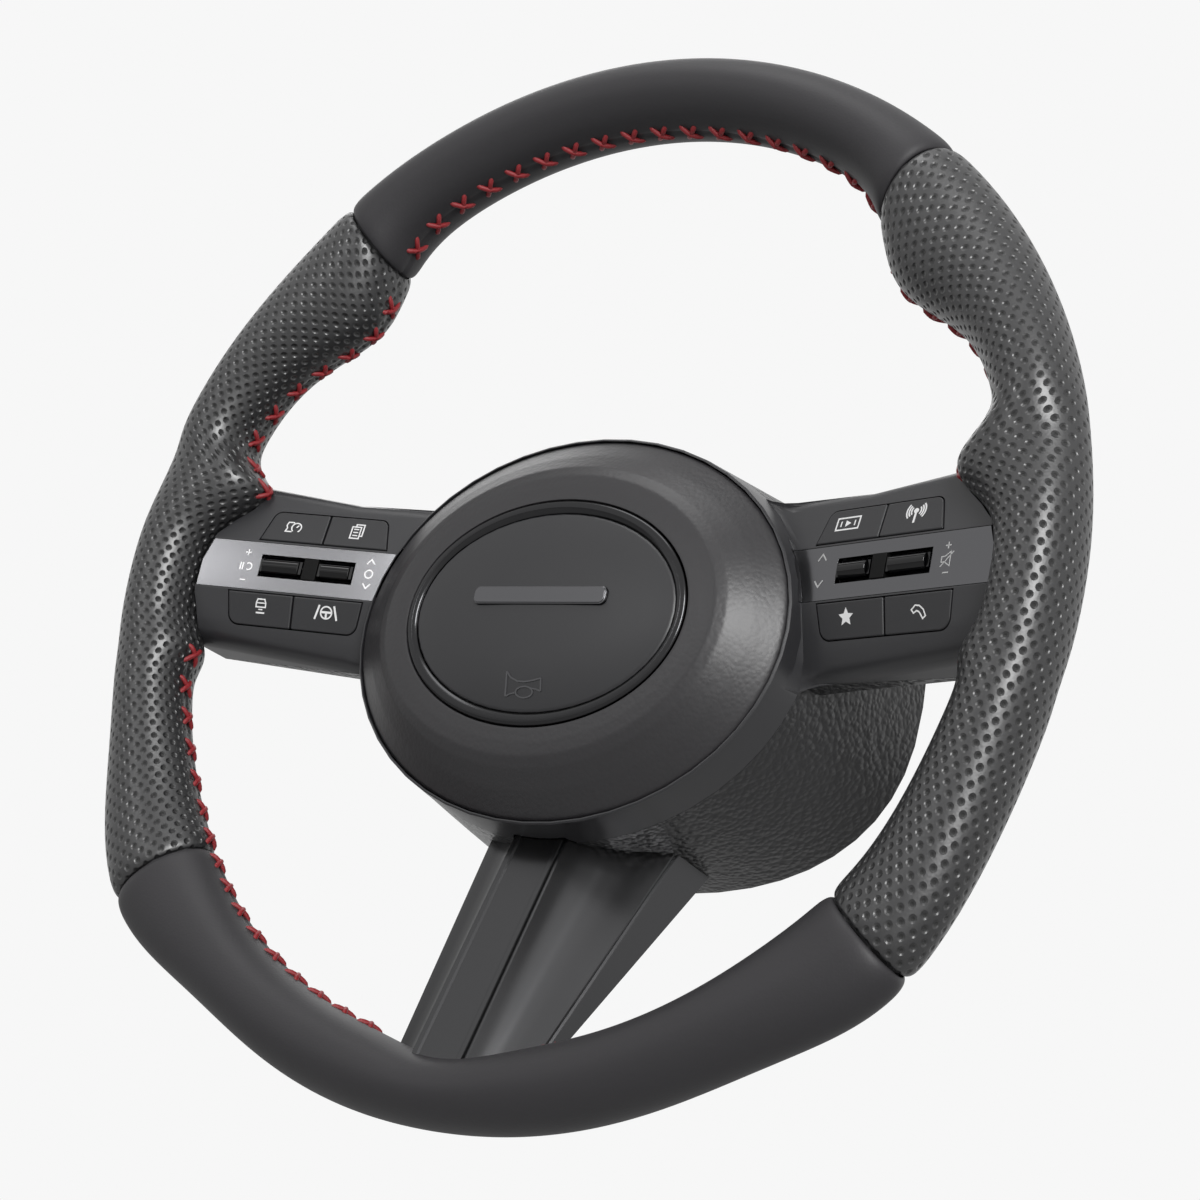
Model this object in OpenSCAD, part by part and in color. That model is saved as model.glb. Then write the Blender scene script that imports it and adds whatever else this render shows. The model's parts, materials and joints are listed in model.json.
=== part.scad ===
// Steering wheel of a passenger car: leather rim, three spokes, switch packs and driver airbag.
// The origin is the centre of the column bore in the hub's rear face. +Z points to twelve
// o'clock, +X to the driver's right and -Y towards the driver.

/* [Rim] */
// Overall width of the rim
rim_w = 370; // [350:1:390]
// Height of the rim above the column axis
rim_top = 190; // [180:1:196]
// Reach of the rim below the column axis
rim_bottom = 190; // [182:1:196]
// How far the rim's middle plane lies in front of the hub's rear face
dish = 60; // [56:1:66]
// Width of the rim section, seen from the driver
grip_w = 27; // [25:0.5:30]
// Depth of the rim section, front to back
grip_d = 33.4; // [31:0.2:36]
// Extra width of the thumb rests
thumb_swell = 15.5; // [8:0.5:18]
// Place of the thumb rests, in degrees from twelve o'clock
thumb_at = 48; // [46:1:52]
// How far the lower corners stand out of the round
corner_out = 11.5; // [4:0.5:14]
// Place of the lower corners, in degrees from twelve o'clock
corner_at = 131; // [128:1:133]
// Turn of the section at the lower grips, in degrees
grip_turn = 22; // [0:1:26]
// Thickness of the leather
leather_t = 1.4; // [1.0:0.1:1.8]
// Place of the upper seams, in degrees from twelve o'clock
seam_top = 40.4; // [38:0.2:43]
// Place of the lower seams, in degrees from twelve o'clock
seam_low = 130.6; // [128:0.2:133]

/* [Hub] */
// Drop of the hub's centre below the column axis
hub_drop = 18; // [14:1:20]
// Half width of the airbag cover
cover_a = 84; // [80:0.5:87]
// Half height of the airbag cover
cover_b = 67.8; // [65:0.5:70]
// Half width of the emblem field, over its ring
emblem_a = 54.8; // [50:0.5:56]
// Half height of the emblem field, over its ring
emblem_b = 39.9; // [36:0.5:41]
// Width of the emblem ring
ring_w = 4; // [3:0.2:5]
// Travel of the horn pad
horn_travel = 2; // [1:0.1:2.4]
// Half width of the rear cover at its open back
rear_a = 98.5; // [94:0.5:101]
// Half height of the rear cover at its open back
rear_b = 71; // [70:0.5:74]
// Depth of the rear cover's back edge behind the rim's middle plane
rear_depth = 88; // [80:1:94]
// Bore for the steering column
bore_r = 8.5; // [8:0.1:9.5]
// Length of the column bore
bore_len = 18; // [14:1:20]

/* [Spokes] */
// Turn of each side spoke's face towards the driver, in degrees
face_turn = 14; // [12:0.5:16]
// Lean of the upper buttons, in degrees
upper_lean = 10; // [6:0.5:12]
// Lean of the lower buttons, in degrees
lower_lean = 16; // [12:0.5:18]
// Height of the metal strip
strip_h = 18.4; // [17:0.1:19]
// Width of the toggle window
window_w = 37.8; // [36:0.2:39]
// Height of the toggle window
window_h = 8.6; // [8:0.1:9.4]
// Gap round each button
button_gap = 0.35; // [0.25:0.05:0.5]
// Travel of each button
button_travel = 0.8; // [0.4:0.1:1]
// Half width of the centre band of the lower spoke
band_half = 9.6; // [8:0.2:11]
// Wall of the plastic mouldings
wall = 2.4; // [2:0.1:2.8]

/* [Hidden] */

rim_y = -dish;
leather_col = [0.16, 0.16, 0.17];
grain_col = [0.19, 0.19, 0.20];
plastic_col = [0.22, 0.22, 0.23];
satin_col = [0.62, 0.62, 0.63];
dark_metal_col = [0.30, 0.30, 0.31];
gloss_col = [0.05, 0.05, 0.05];
casting_col = [0.70, 0.71, 0.72];
steel_col = [0.55, 0.56, 0.58];

// Loft through equal rings of points. An open loft has flat ends.
function reversed(v) = [for (i = [len(v) - 1 : -1 : 0]) v[i]];
function sum_of(v) = [for (p = v) 1] * v;
function area_of(r) = sum_of([for (j = [0 : len(r) - 1]) cross(r[j], r[(j + 1) % len(r)])]);
function swept(rings, spans) = sum_of([for (i = [0 : spans - 1])
    let (a = rings[i], b = rings[(i + 1) % len(rings)])
    (area_of(a) + area_of(b)) * (sum_of(b) - sum_of(a))]);
module loft(rings, closed = false) {
    n = len(rings[0]);
    m = len(rings);
    spans = closed ? m : m - 1;
    sides = [for (i = [0 : spans - 1], j = [0 : n - 1])
        let (k = (j + 1) % n, i2 = (i + 1) % m)
        each [[i * n + j, i * n + k, i2 * n + k], [i * n + j, i2 * n + k, i2 * n + j]]];
    caps = closed ? [] : [[for (j = [n - 1 : -1 : 0]) j], [for (j = [0 : n - 1]) (m - 1) * n + j]];
    out = swept(rings, spans) < 0;
    polyhedron(points = [for (r = rings) each r], convexity = 10,
        faces = [for (f = concat(sides, caps)) out ? f : reversed(f)]);
}

// Even steps from a to b, both ends included
function span(a, b, steps) = [for (i = [0 : steps]) a + (b - a) * i / steps];

// Rounded hump of height one at mid, with its own width on each side
function bell(t, mid, before, after) = exp(-pow((t - mid) / (t < mid ? before : after), 2));

// Smaller of two values, with a rounded change from one to the other
function soft_min(a, b, k) = -k * ln(exp(-a / k) + exp(-b / k));

/* Rim section, as functions of the angle t from twelve o'clock */
rim_sides = 16;
fold_at = 180;
flare_at = 77.5;
flare_deep = 15.5;
notch_half = 8.5;
notch_deep = 3.8;
swell_back = 0.24;
core_ring_r = rim_w / 2 - 9;
core_r = 5.5;
function fold(t) = let (a = abs(t) % 360) a > fold_at ? 360 - a : a;
function round_r(f) = rim_w / 2 + ((f < 90 ? rim_top : rim_bottom) - rim_w / 2) * pow(cos(f), 2);
function outer_r(t) = let (f = fold(t)) round_r(f) + corner_out * bell(f, corner_at, 15, 12);
function section_w(f) = grip_w + thumb_swell * bell(f, thumb_at, 9, 11.5)
    + flare_deep * bell(f, flare_at, 3.2, 6) + 3.5 * bell(f, 101.5, 3, 2.5)
    - notch_deep * bell(f, fold_at, notch_half, notch_half);
function inner_r(t) = let (f = fold(t)) round_r(f) - section_w(f);
function half_d(f) = grip_d / 2 + 1.5 * bell(f, thumb_at, 12, 12) - 2.6 * bell(f, 126, 22, 18);
function turn(f) = -grip_turn * bell(f, 122, 18, 16);
function rim_point(t, phi, inset) =
    let (f = fold(t), ro = outer_r(t), ri = inner_r(t), w = turn(f),
         u = ((ro - ri) / 2 - inset) * cos(phi), v = (half_d(f) - inset) * sin(phi),
         back = swell_back * max(0, section_w(f) - grip_w) * (1 - cos(phi)) / 2,
         r = (ro + ri) / 2 + u * cos(w) - v * sin(w))
    [r * sin(t), rim_y + u * sin(w) + v * cos(w) + back, r * cos(t)];

// Leather tube between two seams. Its ends dip into the seam grooves.
seam_gap = 0.12;
seam_dip = 0.9;
function dip(t, t0, t1) = seam_dip * (exp(-abs(t - t0) / 0.35) + exp(-abs(t1 - t) / 0.35));
module leather_tube(stations) {
    t0 = stations[0];
    t1 = stations[len(stations) - 1];
    loft([for (j = [0 : rim_sides - 1]) let (phi = j * 360 / rim_sides) concat(
        [for (t = stations) rim_point(t, phi, dip(t, t0, t1))],
        [for (i = [len(stations) - 1 : -1 : 0])
            rim_point(stations[i], phi, leather_t + seam_dip * 0.5)])], closed = true);
}
function seam_in(t) = [t, t + 0.35, t + 1];
function seam_out(t) = [t - 1, t - 0.35, t];
top_stations = concat(seam_in(-seam_top + seam_gap), span(-seam_top + 3.5, seam_top - 3.5, 10),
    seam_out(seam_top - seam_gap));
grip_middle = concat(span(seam_top + 3.5, 69, 5), span(73, 85, 5), span(89, seam_low - 3.5, 8));
grip_stations = concat(seam_in(seam_top + seam_gap), grip_middle, seam_out(seam_low - seam_gap));
bottom_middle = span(seam_low + 3.5, fold_at - 4.4, 8);
bottom_half = concat(seam_in(seam_low + seam_gap), bottom_middle);
bottom_stations = concat(bottom_half, [for (i = [len(bottom_half) - 1 : -1 : 0]) 360 - bottom_half[i]]);

module leather_top() color(leather_col) leather_tube(top_stations);
module leather_bottom() color(leather_col)
    difference() {
        leather_tube(bottom_stations);
        lower_spoke_core(0.6);
    }
module leather_grip_right() color(grain_col)
    difference() {
        leather_tube(grip_stations);
        side_spoke_core(0.6);
    }
module leather_grip_left() color(grain_col) mirror([1, 0, 0])
    difference() {
        leather_tube(grip_stations);
        side_spoke_core(0.6);
    }

// Foam moulded over the armature's rim, just under the leather
foam_gap = 1.2;
foam_half = concat(span(0, seam_top - 3.5, 5), [seam_top], grip_middle, bottom_middle);
foam_stations = concat(foam_half, [for (i = [len(foam_half) - 1 : -1 : 1]) 360 - foam_half[i]]);
module rim_foam() color("dimgray")
    difference() {
        loft([for (t = foam_stations)
            [for (j = [0 : 7]) rim_point(t, j * 45, leather_t + foam_gap)]], closed = true);
        rim_core();
        side_spoke_core(0);
        mirror([1, 0, 0]) side_spoke_core(0);
        lower_spoke_core(0);
    }

// Depths d count back from the rim's middle plane
core_path = [[28, 47], [60, 44], [88, 33.5], [115, 27.3], [core_ring_r - 31, 20.2], [core_ring_r - 3, 2]];
core_t = 7;
low_path = [[20, 47], [68, 41], [100, 29.5], [core_ring_r - 26, 8], [core_ring_r - 3, 0.5]];
function unit(v) = v / norm(v);
function left_of(v) = [-v[1], v[0]];
function path_side(path, h) = [for (i = [0 : len(path) - 1])
    let (a = max(i, 1), b = min(i, len(path) - 2),
         before = left_of(unit(path[a] - path[a - 1])),
         after = left_of(unit(path[b + 1] - path[b])),
         m = unit(before + after))
    path[i] + m * h / (m * before)];
module bent_bar(path, t, grow)
    polygon(concat(path_side(path, t / 2 + grow), reversed(path_side(path, -t / 2 - grow))));
module side_spoke_core(grow)
    translate([0, rim_y, -11 - grow])
        linear_extrude(22 + 2 * grow) bent_bar(core_path, core_t, grow);
module lower_spoke_core(grow)
    translate([-9 - grow, rim_y, 0]) rotate([0, 90, 0])
        linear_extrude(18 + 2 * grow) bent_bar(low_path, core_t, grow);
module rim_core()
    translate([0, rim_y, 0]) rotate([90, 0, 0])
        rotate_extrude($fn = 96) translate([core_ring_r, 0]) circle(r = core_r, $fn = 24);

// Cylinder along Y between two depths
module post(x, z, r, d0, d1)
    translate([x, rim_y + d0, z]) rotate([-90, 0, 0]) cylinder(r = r, h = d1 - d0, $fn = 48);

// Die-cast armature: hub plate, boss, three spokes and rim core
plate_d = 44;
plate_t = 6;
floor_d = plate_d + plate_t + 5.2;
insert_r = 14;
pin_r = 3;
lug_d = 38.5;
pin_places = [[-50, 2], [50, 2], [0, -56]];
screw_places = [[-30, 26], [30, 26], [-30, -46], [30, -46]];
module arm_to(p, w)
    translate([0, rim_y + plate_d + plate_t, 0]) rotate([90, 0, 0]) linear_extrude(plate_t)
        bent_bar([[0, 0], p], w, 0);
module armature() color(casting_col)
    difference() {
        union() {
            rim_core();
            side_spoke_core(0);
            mirror([1, 0, 0]) side_spoke_core(0);
            lower_spoke_core(0);
            post(0, 0, 36, plate_d, plate_d + plate_t);
            post(0, 0, 21, plate_d, dish - 0.5);
            for (p = pin_places) post(p[0], p[1], 10, lug_d, plate_d + plate_t);
            for (p = screw_places) arm_to(p, 12);
            for (p = screw_places) post(p[0], p[1], 6, plate_d, floor_d);
        }
        post(0, 0, insert_r, plate_d - 10, dish + 1);
        for (p = pin_places) post(p[0], p[1], pin_r + 0.25, lug_d - 6, plate_d + 12);
        for (p = screw_places) post(p[0], p[1], 2, plate_d + 2, floor_d + 1);
    }

// Steel hub insert cast into the armature, with the column bore
module hub_insert() color(steel_col)
    difference() {
        union() {
            post(0, 0, insert_r, dish - bore_len, dish);
            post(0, 0, insert_r + 3, dish - 0.5, dish);
        }
        post(0, 0, bore_r, dish - bore_len - 1, dish + 1);
        post(0, 0, bore_r + 2.5, dish - bore_len - 1, dish - bore_len + 2);
    }

// Oval outlines in the hub, as rings of points at a depth
oval_steps = 48;
function oval(a, b, d, n = 2) = [for (i = [0 : oval_steps - 1])
    let (t = i * 360 / oval_steps, c = cos(t), s = sin(t))
    [a * sign(c) * pow(abs(c), 2 / n), rim_y + d, b * sign(s) * pow(abs(s), 2 / n) - hub_drop]];
module oval_wall(profile)
    let (rings = [for (p = profile) oval(p[0], p[1], p[2], p[3])])
    loft([for (i = [0 : oval_steps - 1]) [for (r = rings) r[oval_steps - 1 - i]]], closed = true);
module oval_block(a, b, d0, d1)
    translate([0, rim_y + d1, -hub_drop]) rotate([90, 0, 0]) linear_extrude(d1 - d0)
        polygon([for (i = [0 : oval_steps - 1]) let (t = i * 360 / oval_steps) [a * cos(t), b * sin(t)]]);

/* Side spoke mouldings */
cover_gap = 0.3;
part_gap = 0.15;
lip_d = 11.4;
seam_d = 26.5;
collar_grow = 2.4;
mouth_a = cover_a + cover_gap;
mouth_b = cover_b + cover_gap;
face_x = 115.6;
face_d = 9.2;
strip_top = 11.2;
strip_low = strip_top - strip_h;
upper_at = strip_top + 0.7;
lower_at = strip_low - 0.7;
function base_d(x) = face_d - tan(face_turn) * (x - face_x);
function wing_top(x) = 28.8 + 0.107 * (x - 81);
function wing_low(x) = -31.6 + 0.078 * (x - 92);
function lip_x(z) = mouth_a * sqrt(max(0, 1 - pow((z + hub_drop) / mouth_b, 2)));
function facet(z) = z > upper_at ? (z - upper_at) * tan(upper_lean)
    : z < lower_at ? (lower_at - z) * tan(lower_lean) : 0;

// Section of a side spoke: heights z, and depths behind the face
function wing_rows(zt, zb) = [
    [zt, 99], [zt, facet(zt) + 5.5], [zt - 0.4, facet(zt) + 3], [zt - 1.5, facet(zt) + 1],
    [zt - 4.2, facet(zt - 4.2)], [upper_at, 0], [lower_at, 0], [zb + 9, facet(zb + 9)],
    [zb + 4.6, facet(zb + 4.6) + 0.4], [zb + 2.2, facet(zb + 2.2) + 2],
    [zb + 0.7, facet(zb) + 4.6], [zb, facet(zb) + 8], [zb, 99]];
wing_last = 12;
over = 3;
function row_d(i, d) = i == 0 || i == wing_last ? seam_d + over : min(d, seam_d - 0.2 * (wing_last - i));
// A ring of the spoke near the hub follows the collar at s outside its mouth
function root_ring(s) =
    let (x0 = 84 + s, rows = wing_rows(wing_top(x0) + 9 * exp(-s / 3.5), wing_low(x0) - 6 * exp(-s / 3.5)))
    [for (i = [0 : wing_last]) let (z = rows[i][0], x = lip_x(z) + s)
        [x, rim_y + row_d(i, soft_min(lip_d + 4.4 * s, base_d(x) + rows[i][1], 1.4)), z]];
function wing_ring(x) = let (rows = wing_rows(wing_top(x), wing_low(x)))
    [for (i = [0 : wing_last]) [x, rim_y + row_d(i, base_d(x) + rows[i][1]), rows[i][0]]];
function wing_start(x) = [for (p = root_ring(0)) [x, p[1] < rim_y + seam_d ? rim_y + 5 : p[1], p[2]]];
module wing_solid() loft(concat(
    [wing_start(44)], [for (s = [0.2, 1, 1.9, 3.2, 5.5, 9, 14]) root_ring(s)],
    [for (x = [104, 120, 140, 162]) wing_ring(x)]));

// Hollow behind the spoke's face, open at the back
function hollow_rows(zt, zb) = [
    [zt - wall, 99], [zt - wall, facet(zt) + 5], [zt - 5.2, facet(zt - 5.2) + wall],
    [upper_at, wall], [upper_at - 0.1, wall + 2], [lower_at + 0.1, wall + 2], [lower_at, wall],
    [zb + 8, facet(zb + 8) + wall], [zb + wall, facet(zb) + 8], [zb + wall, 99]];
module wing_hollow() loft([for (x = [60, 120, 160])
    let (rows = hollow_rows(wing_top(x), wing_low(x)))
    [for (i = [0 : 9]) [x, rim_y + (i == 0 || i == 9 ? seam_d + 3
        : min(base_d(x) + rows[i][1], seam_d + 0.2 * i - 1)), rows[i][0]]]]);

// Room for the leather, and the outline of a spoke's outer end along its inner edge
end_gap = 0.5;
side_stations = [for (t = grip_middle) if (t > 60 && t < 116) t];
module leather_room(stations, grow)
    loft([for (t = stations) [for (j = [0 : rim_sides - 1])
        rim_point(t, -j * 360 / rim_sides, -grow)]]);
module end_outline(inset)
    translate([0, rim_y + 60, 0]) rotate([90, 0, 0]) linear_extrude(100)
        polygon(concat([[40, -60], [40, 60]],
            [for (t = side_stations) (inner_r(t) - end_gap - inset) * [sin(t), cos(t)]]));
module on_side(side) mirror([side < 0 ? 1 : 0, 0, 0]) children();

// Places on a side spoke's face: x runs out along it and y runs into it
module on_face(side)
    on_side(side) translate([face_x, rim_y + face_d, 0]) rotate([0, 0, -face_turn]) children();
module on_upper(side) on_face(side) translate([0, 0, upper_at]) rotate([-upper_lean, 0, 0]) children();
module on_lower(side) on_face(side) translate([0, 0, lower_at]) rotate([lower_lean, 0, 0]) children();

// Button fields. The flat shapes have x along the spoke and y up the wheel.
upper_h = 13;
lower_h = 12.8;
upper_split = -3.9;
lower_split = 2.4;
split_gap = 0.5;
module upper_field(grow)
    intersection() {
        offset(r = 3.6 + grow, $fn = 32) offset(delta = -3.6)
            polygon([[-30.3, -6], [24.1, -6], [22, 0], [18.4, upper_h], [-27, upper_h], [-30, 0]]);
        translate([-50, 0.1 - grow]) square([100, 40]);
    }
module lower_field(grow)
    intersection() {
        offset(r = 4.4 + grow, $fn = 32) offset(delta = -4.4)
            polygon([[-25.6, 6], [29.6, 6], [29.3, 0], [27.6, -lower_h], [-23.6, -lower_h], [-25.4, 0]]);
        translate([-50, grow - 40.1]) square([100, 40]);
    }
module button_shape(low, outer, inset)
    intersection() {
        if (low) lower_field(-button_gap - inset);
        else upper_field(-button_gap - inset);
        translate([(low ? lower_split : upper_split) + (outer ? split_gap / 2 + inset
            : -split_gap / 2 - inset - 60), -40])
            square([60, 80]);
    }
module into_face(y0, y1) translate([0, y1, 0]) rotate([90, 0, 0]) linear_extrude(y1 - y0) children();

// Metal strip across each spoke, with its inner end turned up to the airbag cover
strip_t = 1.8;
strip_gap = 0.2;
window_z = 2.3;
strip_rows = [strip_top, 6, 1.5, -3, strip_low];
function strip_z(i, grow) = strip_rows[i] + (i == 0 ? grow : i == 4 ? -grow : 0);
function bow(i) = 0.02 * i * (4 - i);
// The strip's section either at s outside the collar's mouth, or at a fixed x
function strip_at_mouth(s, grow) = concat(
    [for (i = [0 : 4]) let (z = strip_z(i, grow), x = lip_x(z) + s)
        [x, rim_y + soft_min(lip_d + 4.4 * s, base_d(x), 1.4) - grow, z]],
    [for (i = [4 : -1 : 0]) let (z = strip_z(i, grow), x = lip_x(z) + s)
        [x, rim_y + soft_min(lip_d + 4.4 * (s + strip_t), base_d(x) + strip_t, 1.4) + grow, z]]);
function strip_at(x, d0, d1, grow) = concat(
    [for (i = [0 : 4]) [x, rim_y + d0 - grow - bow(i), strip_z(i, grow)]],
    [for (i = [4 : -1 : 0]) [x, rim_y + d1 + grow + bow(i), strip_z(i, grow)]]);
module strip_bar(side, grow)
    on_side(side) loft(concat(
        [strip_at(60, 5, 14, grow)],
        [for (s = [0.1, 1, 2, 3.2, 5.5, 9]) strip_at_mouth(s, grow)],
        [for (x = [100, 162]) strip_at(x, base_d(x), base_d(x) + strip_t, grow)]));
module window_block(y0, y1, grow)
    translate([-window_w / 2 - grow, y0, window_z - window_h / 2 - grow])
        cube([window_w + 2 * grow, y1 - y0, window_h + 2 * grow]);
module trim_strip(side) color(satin_col)
    difference() {
        intersection() {
            strip_bar(side, 0);
            on_side(side) end_outline(0.2);
        }
        oval_block(mouth_a, mouth_b, 0, 60);
        on_face(side) window_block(-20, 20, 0);
    }
module trim_strip_left() trim_strip(-1);
module trim_strip_right() trim_strip(1);

// Front bezel: collar round the airbag and both side spokes, one moulding
module front_bezel() color(plastic_col)
    difference() {
        union() {
            oval_wall([
                [mouth_a + 0.4, mouth_b + 0.4, lip_d, 2], [mouth_a + 0.9, mouth_b + 0.9, lip_d + 0.5, 2],
                [mouth_a + 1.3, mouth_b + 1.3, lip_d + 3, 2], [mouth_a + 1.8, mouth_b + 2, 20, 2],
                [mouth_a + collar_grow, mouth_b + collar_grow + 0.5, seam_d, 2],
                [mouth_a + collar_grow, mouth_b + collar_grow + 0.5, seam_d + over, 2],
                [mouth_a + 0.2, mouth_b + 0.2, seam_d + over, 2], [mouth_a - 0.5, mouth_b - 0.5, 20, 2],
                [mouth_a - 1, mouth_b - 1, lip_d, 2]]);
            for (side = [-1, 1]) on_side(side) intersection() {
                wing_solid();
                end_outline(-6);
            }
        }
        translate([-200, rim_y + seam_d, -120]) cube([400, 20, 240]);
        oval_block(mouth_a, mouth_b, 0, 40);
        for (side = [-1, 1]) {
            on_side(side) leather_room(side_stations, end_gap);
            difference() {
                on_side(side) intersection() {
                    wing_hollow();
                    end_outline(wall);
                }
                oval_block(mouth_a + 2.2, mouth_b + 2.2, -20, 80);
            }
            on_upper(side) into_face(-6, 7.2) upper_field(0);
            on_lower(side) into_face(-6, 7.2) lower_field(0);
            strip_bar(side, strip_gap);
            on_face(side) window_block(-3, 8, 0);
            on_side(side) side_spoke_core(0.5);
        }
        difference() {
            lower_shape(0.4);
            oval_block(mouth_a + 1.4, mouth_b + 1.4, -20, 80);
        }
    }

// Rear cover: grained shell round the hub, open at the back, with both rear spoke halves
rear_front = seam_d + part_gap;
function rear_ring(d, inset) =
    let (u = (d - seam_d) / (rear_depth - seam_d), a0 = mouth_a + collar_grow,
         b0 = mouth_b + collar_grow + 0.5)
    oval(a0 + (rear_a - a0) * u - inset, b0 + (rear_b - b0) * u - inset, d, 2 + 0.48 * u);
module rear_shape(inset, d0, d1, steps)
    loft([for (d = span(d1, d0, steps)) rear_ring(d, inset)]);
function back_d(x) = 40 - 0.19 * (x - 95);
function back_rows(zt, zb, s, b) = [
    [zt, s], [zt, s + (b - s) * 0.55], [zt - 1.6, s + (b - s) * 0.82], [zt - 5, s + (b - s) * 0.96],
    [zt - 11, b], [zb + 9, b], [zb + 4, s + (b - s) * 0.96], [zb + 1.2, s + (b - s) * 0.82],
    [zb, s + (b - s) * 0.55], [zb, s]];
module wing_back(inset, front)
    loft([for (x = [60, 100, 125, 162])
        [for (p = back_rows(wing_top(x) - inset, wing_low(x) + inset, seam_d + front, back_d(x) - inset))
            [x, rim_y + p[1], p[0]]]]);
module rear_cover() color(grain_col)
    difference() {
        union() {
            difference() {
                union() {
                    rear_shape(0, rear_front, rear_depth, 3);
                    for (side = [-1, 1]) on_side(side) intersection() {
                        wing_back(0, part_gap);
                        end_outline(-6);
                    }
                }
                rear_shape(wall, rear_front - 1, rear_depth + 1, 3);
                for (side = [-1, 1]) on_side(side) intersection() {
                    wing_back(wall, -3);
                    end_outline(wall - 6);
                }
            }
            rear_shape(1, floor_d, floor_d + wall, 1);
        }
        post(0, 0, 30, floor_d - 1, floor_d + 5);
        for (p = pin_places) post(p[0], p[1], 7, floor_d - 1, floor_d + 5);
        for (p = screw_places) post(p[0], p[1], 2.2, floor_d - 1, floor_d + 5);
        lower_spoke_core(0.6);
        for (side = [-1, 1]) on_side(side) side_spoke_core(0.6);
    }
module rear_cover_screws() color(steel_col)
    for (p = screw_places) difference() {
        union() {
            post(p[0], p[1], 1.9, plate_d + 3, floor_d + wall + 1);
            post(p[0], p[1], 4.4, floor_d + wall, floor_d + wall + 2.4);
        }
        post(p[0], p[1], 2.4, floor_d + wall + 1.2, floor_d + wall + 3);
    }

/* Lower spoke: a trim with two ribs, hollow flanks and straight sides, and its back */
low_top = -76;
low_end = -172;
function band_d(z) = 23.5 + 0.3847 * (z + 85.5);
function flank_w(z) = 37.2 + 0.139 * (z + 84.3);
function flank_d(z) = 48 + 0.5165 * (z + 84.3);
function side_d(z) = 72.6 + 0.7518 * (z + 86.2);
flank_curve = [[0.14, 0.26], [0.36, 0.53], [0.62, 0.74], [0.86, 0.9], [1, 1]];
function low_half(z) = let (b = band_d(z), w = flank_w(z), f = flank_d(z), x1 = band_half + 1)
    concat([[0, b + 0.7], [band_half - 2.4, b + 0.7], [band_half - 1.8, b], [band_half, b], [x1, b + 1.4]],
        [for (c = flank_curve) [x1 + (w - x1) * c[0], b + 1.4 + (f - b - 1.4) * c[1]]],
        [[w - 0.9, f + 0.8], [w - 0.9, f + 2], [w, f + 2.8], [w, side_d(z)]]);
function low_ring(z, grow) = let (h = [for (p = low_half(z))
        [p[0] + (p[0] > 8 ? grow : 0), rim_y + p[1] - grow, z]])
    concat([for (p = h) p], [for (i = [len(h) - 1 : -1 : 1]) [-h[i][0], h[i][1], z]]);
module lower_shape(grow) loft([low_ring(low_end, grow), low_ring(low_top, grow)]);
function low_hollow_ring(z) = let (b = band_d(z), w = flank_w(z), f = flank_d(z), s = side_d(z))
    [for (p = [[-6, b + 3.2], [6, b + 3.2], [band_half + 1, b + 5], [w * 0.55, b + (f - b) * 0.62 + 3],
            [w - wall - 1, f + 3.5], [w - wall, f + 5.5], [w - wall, s + 5], [wall - w, s + 5],
            [wall - w, f + 5.5], [wall + 1 - w, f + 3.5], [-w * 0.55, b + (f - b) * 0.62 + 3],
            [-band_half - 1, b + 5]]) [p[0], rim_y + p[1], z]];
low_near = [for (t = bottom_middle) if (t > 155) t];
low_stations = concat(low_near, [for (i = [len(low_near) - 1 : -1 : 0]) 360 - low_near[i]]);
module lower_room()
    union() {
        leather_room(low_stations, end_gap);
        rear_shape(-0.4, seam_d, rear_depth, 3);
        oval_block(mouth_a + 1.8, mouth_b + 1.8, -20, seam_d + 0.4);
    }
module low_limit() post(0, 0, 173, -40, 100);
module lower_spoke_trim() color(dark_metal_col)
    difference() {
        intersection() {
            lower_shape(0);
            low_limit();
        }
        loft([low_hollow_ring(low_end - 3), low_hollow_ring(low_top + 3)]);
        lower_room();
        lower_spoke_core(0.6);
    }
back_taper_z = -154;
module lower_spoke_back() color(grain_col)
    difference() {
        intersection() {
            loft([for (z = [low_end, back_taper_z, low_top]) [for (p = [[1, 0], [-1, 0], [-1, 1], [1, 1]])
                [p[0] * (flank_w(z) - wall - 0.3 - (z < back_taper_z ? 8 : 0)),
                    rim_y + side_d(z) - p[1] * 2.2, z]]]);
            low_limit();
        }
        lower_room();
        lower_spoke_core(0.6);
        post(0, 0, 166, -60, -59);
    }

/* Switch packs */
button_deep = 6;
proud = 0.4;
module button(side, low, outer) color(plastic_col)
    if (low) on_lower(side) button_cap(low, outer);
    else on_upper(side) button_cap(low, outer);
module button_cap(low, outer)
    difference() {
        into_face(-proud, button_deep) button_shape(low, outer, 0);
        into_face(1.6, button_deep + 1) button_shape(low, outer, 1.5);
    }
module upper_inner_button_left() button(-1, false, false);
module upper_outer_button_left() button(-1, false, true);
module lower_inner_button_left() button(-1, true, false);
module lower_outer_button_left() button(-1, true, true);
module upper_inner_button_right() button(1, false, false);
module upper_outer_button_right() button(1, false, true);
module lower_inner_button_right() button(1, true, false);
module lower_outer_button_right() button(1, true, true);

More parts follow.
